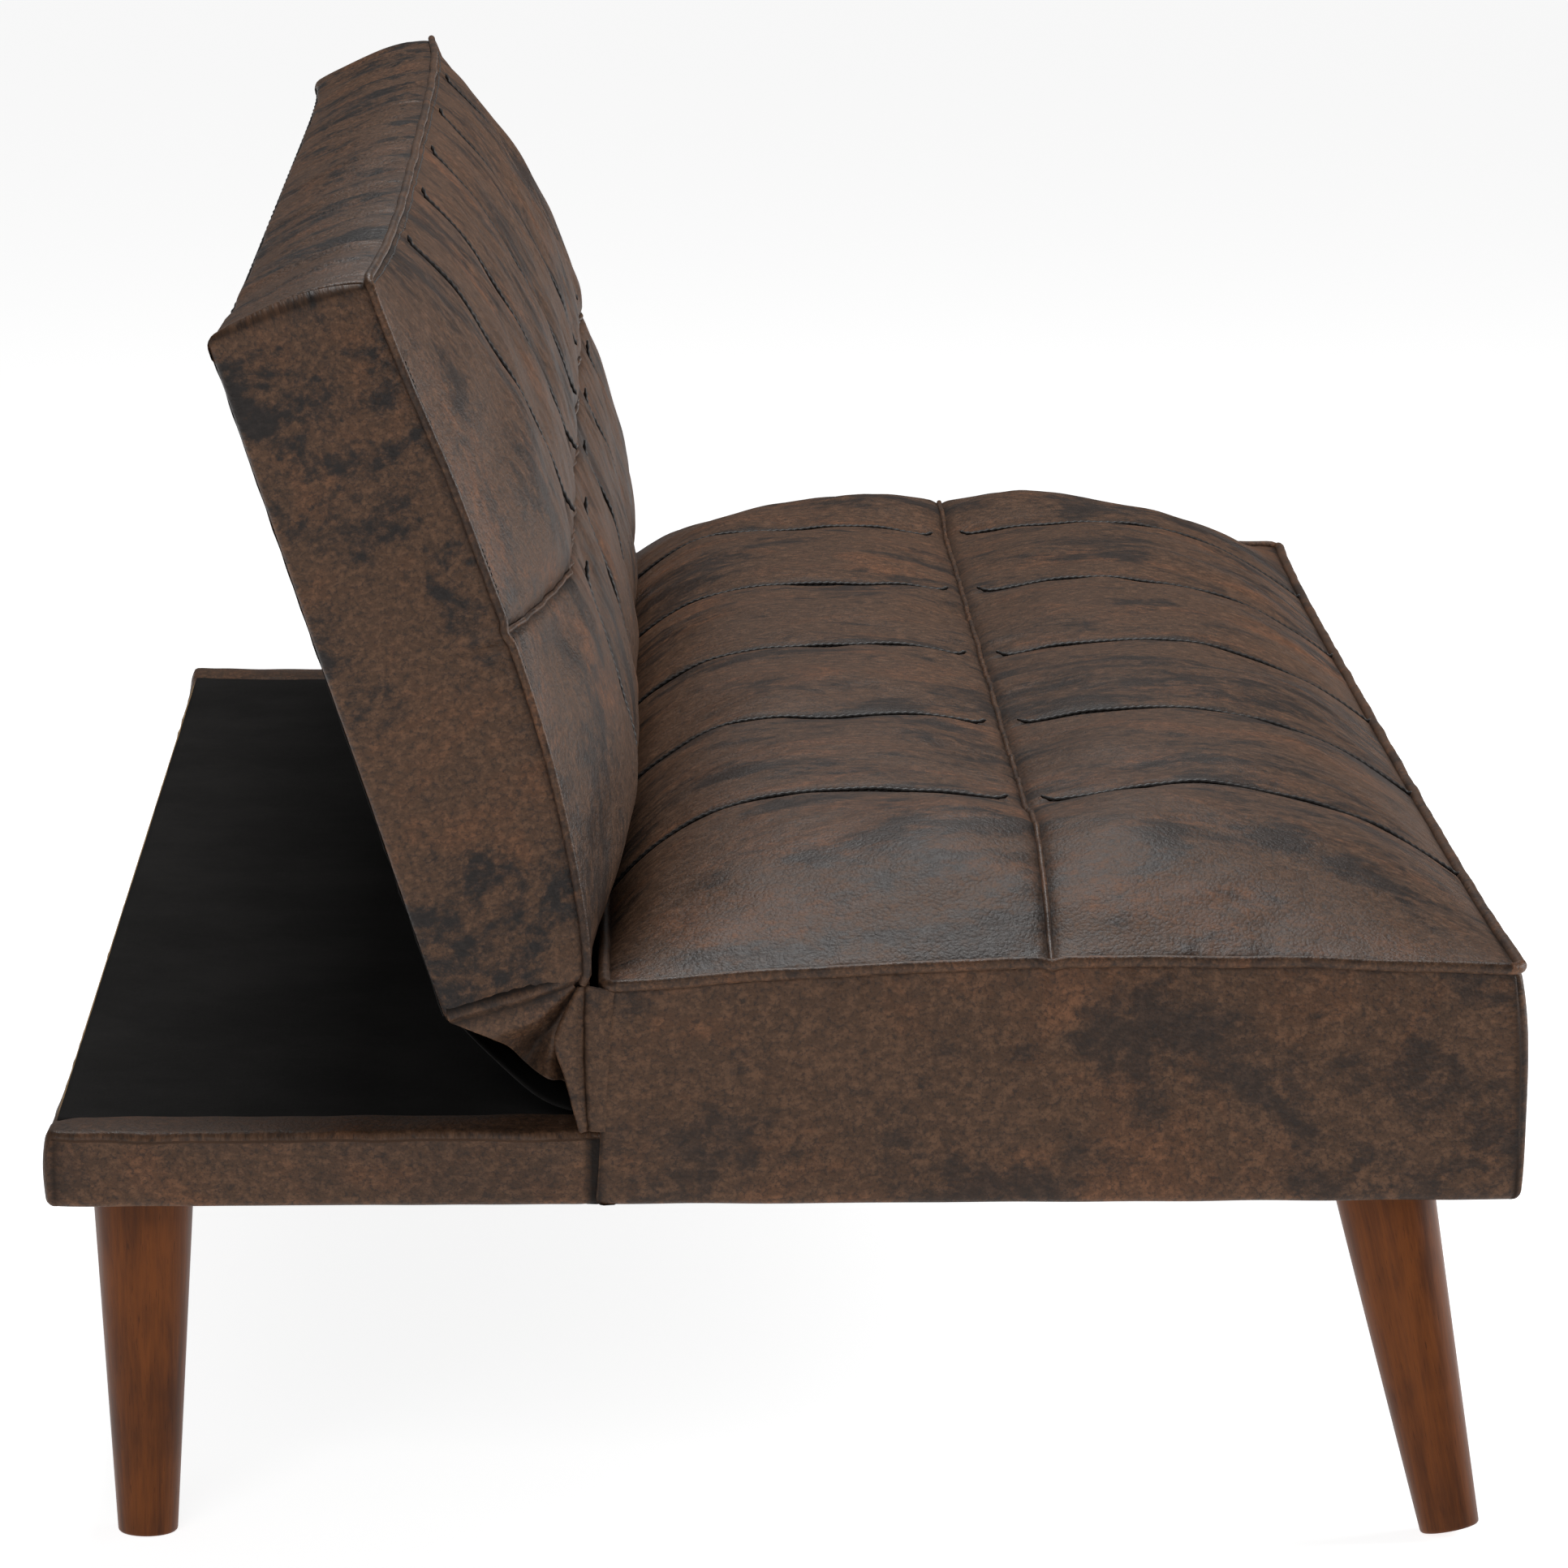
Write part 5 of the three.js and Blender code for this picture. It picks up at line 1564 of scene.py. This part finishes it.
class SOFA_OT_piping(bpy.types.Operator):
    """Piping round the seat and the backrest"""
    bl_idname = "sofa.piping"
    bl_label = "Piping"

    def execute(self, context):
        sizes = context.scene.sofa_cushions
        radii = (sizes.seat_piping, sizes.back_piping)
        for (word, body), radius, seed in zip(CUSHIONS, radii, (41, 45)):
            piping(f"{word}_edge_cord", made_block(word), radius, leathers("piping"), seed,
                   f"{word}_piping", body)
        return {"FINISHED"}


class SOFA_OT_welts(bpy.types.Operator):
    """Cords across the middle of the seat and the backrest"""
    bl_idname = "sofa.welts"
    bl_label = "Middle welts"

    def execute(self, context):
        for (word, body), seed in zip(CUSHIONS, (51, 54)):
            welt(f"{word}_cross_cord", made_block(word), leathers("piping"), seed,
                 f"{word}_mid_welt", body)
        return {"FINISHED"}


class SOFA_OT_stitching(bpy.types.Operator):
    """Threads in the channels' seams and topstitching inside the backrest's piping"""
    bl_idname = "sofa.stitching"
    bl_label = "Stitching"

    def execute(self, context):
        material = thread_material()
        for word, body in CUSHIONS:
            seam_threads(f"{word}_seam_thread", made_block(word), material, body)
        topstitching("back_topstitch", made_block("back"), STITCH_INSET, material, "backrest")
        return {"FINISHED"}


class SOFA_OT_cloths(bpy.types.Operator):
    """Black cloths: ledge top, backrest rear, under the base, and the hinge gap's web"""
    bl_idname = "sofa.cloths"
    bl_label = "Black cloths"

    def execute(self, context):
        material = black_cloth()
        ledge_top_cloth(made_block("ledge"), material)
        back_rear_cloth(made_block("back"), material)
        base_dust_cloth(material)
        hinge_gap_web(material)
        return {"FINISHED"}


class SOFA_OT_gussets(bpy.types.Operator):
    """Folded leather at each end of the hinge gap"""
    bl_idname = "sofa.gussets"
    bl_label = "Gussets"

    def execute(self, context):
        for word, side in SIDES:
            gusset(word, side, leathers("gusset"))
        return {"FINISHED"}


class SOFA_OT_legs(bpy.types.Operator):
    """Four turned legs"""
    bl_idname = "sofa.legs"
    bl_label = "Legs"

    def execute(self, context):
        finish = context.scene.sofa_finish
        material = wood("stained_wood", finish.wood, finish.wood_dark, "lay", 0.34)
        for number, word in enumerate(("front_left", "front_right", "rear_left", "rear_right")):
            turned_leg(word, number, material)
        return {"FINISHED"}


class SOFA_OT_inside(bpy.types.Operator):
    """Finishes of the timber and the hinges inside the covers"""
    bl_idname = "sofa.inside"
    bl_label = "Frame and hinges"

    def execute(self, context):
        finish = context.scene.sofa_finish
        timber = wood("pale_timber", finish.timber, [c * 0.6 for c in finish.timber], None, 0.62)
        steel = steel_material()
        for name, node in frame["nodes"].items():
            if node.hide_render:
                continue
            metal = any(word in name for word in ("hinge_a", "hinge_b", "hinge_p", "pawl", "bolt"))
            for slot in node.material_slots:
                slot.material = steel if metal else timber
        return {"FINISHED"}


def area_light(name, place, target, size, power):
    light = bpy.data.lights.new(name, "AREA")
    light.shape = "RECTANGLE"
    light.size, light.size_y = size
    light.energy = power
    lamp = bpy.data.objects.new(name, light)
    lamp.location = place
    lamp.rotation_euler = (Vector(target) - Vector(place)).to_track_quat("-Z", "Y").to_euler()
    bpy.context.scene.collection.objects.link(lamp)


class SOFA_OT_stage(bpy.types.Operator):
    """Pale floor, soft lights and the camera"""
    bl_idname = "sofa.stage"
    bl_label = "Stage"

    def execute(self, context):
        studio = context.scene.sofa_studio
        scene = context.scene
        material, nodes, shader = new_material("studio_floor")
        if nodes:
            set_shader(nodes, shader, Base_Color=rgba(studio.floor), Roughness=0.9,
                       Emission_Color=(1, 1, 1, 1), Emission_Strength=studio.glow)
        corners = [(x * FLOOR_REACH, y * FLOOR_REACH, 0)
                   for x, y in ((-1, -1), (1, -1), (1, 1), (-1, 1))]
        floor = new_piece("floor", corners, [[0, 1, 2, 3]], [material], smooth_faces=False)

        world = bpy.data.worlds.new("studio")
        world.use_nodes = True
        background = world.node_tree.nodes["Background"].inputs
        background["Color"].default_value = (1, 1, 1, 1)
        background["Strength"].default_value = studio.room
        scene.world = world
        scene.view_settings.view_transform = "Standard"
        middle = (0, 0, 0.4)
        area_light("key", (0.4, -4.0, 1.5), (-0.4, 0.1, 0.5), (2.2, 1.8), studio.key)
        area_light("end_fill", (-4.4, 0.9, 2.2), middle, (2.4, 1.8), studio.fill)
        area_light("overhead", (0.9, 0.0, 3.4), (-0.3, 0, 0.4), (1.5, 1.8), studio.top)

        lens = bpy.data.cameras.new("camera")
        lens.lens = studio.lens
        lens.sensor_width = 36
        lens.clip_end = 200
        camera = bpy.data.objects.new("camera", lens)
        level = math.cos(CAMERA_PITCH)
        forward = Vector((level * math.cos(CAMERA_YAW), level * math.sin(CAMERA_YAW),
                          -math.sin(CAMERA_PITCH)))
        camera.location = CAMERA_PLACE
        camera.rotation_euler = forward.to_track_quat("-Z", "Y").to_euler()
        scene.collection.objects.link(camera)
        scene.camera = camera
        return {"FINISHED"}


OPERATORS = (SOFA_OT_seat, SOFA_OT_back, SOFA_OT_ledge, SOFA_OT_piping, SOFA_OT_welts,
             SOFA_OT_stitching, SOFA_OT_cloths, SOFA_OT_gussets, SOFA_OT_legs, SOFA_OT_inside,
             SOFA_OT_stage)


class SOFA_PT_panel(bpy.types.Panel):
    """Sizes and colours, and the pieces in the order they are made"""
    bl_idname = "SOFA_PT_panel"
    bl_label = "Futon sofa bed"
    bl_space_type = "VIEW_3D"
    bl_region_type = "UI"
    bl_category = "Sofa"

    def draw(self, context):
        scene = context.scene
        for group in (scene.sofa_cushions, scene.sofa_finish, scene.sofa_studio):
            box = self.layout.box()
            for key in group.bl_rna.properties.keys():
                if key not in ("name", "rna_type"):
                    box.prop(group, key)
        for operator in OPERATORS:
            self.layout.operator(operator.bl_idname)


CLASSES = (SofaCushions, SofaFinish, SofaStudio, *OPERATORS, SOFA_PT_panel)


def register():
    for item in CLASSES:
        bpy.utils.register_class(item)
    bpy.types.Scene.sofa_cushions = PointerProperty(type=SofaCushions)
    bpy.types.Scene.sofa_finish = PointerProperty(type=SofaFinish)
    bpy.types.Scene.sofa_studio = PointerProperty(type=SofaStudio)


def unregister():
    del bpy.types.Scene.sofa_studio
    del bpy.types.Scene.sofa_finish
    del bpy.types.Scene.sofa_cushions
    for item in reversed(CLASSES):
        bpy.utils.unregister_class(item)


def main():
    register()
    for operator in OPERATORS:
        area, name = operator.bl_idname.split(".")
        getattr(getattr(bpy.ops, area), name)()
    bpy.context.view_layer.update()


if __name__ == "__main__":
    main()
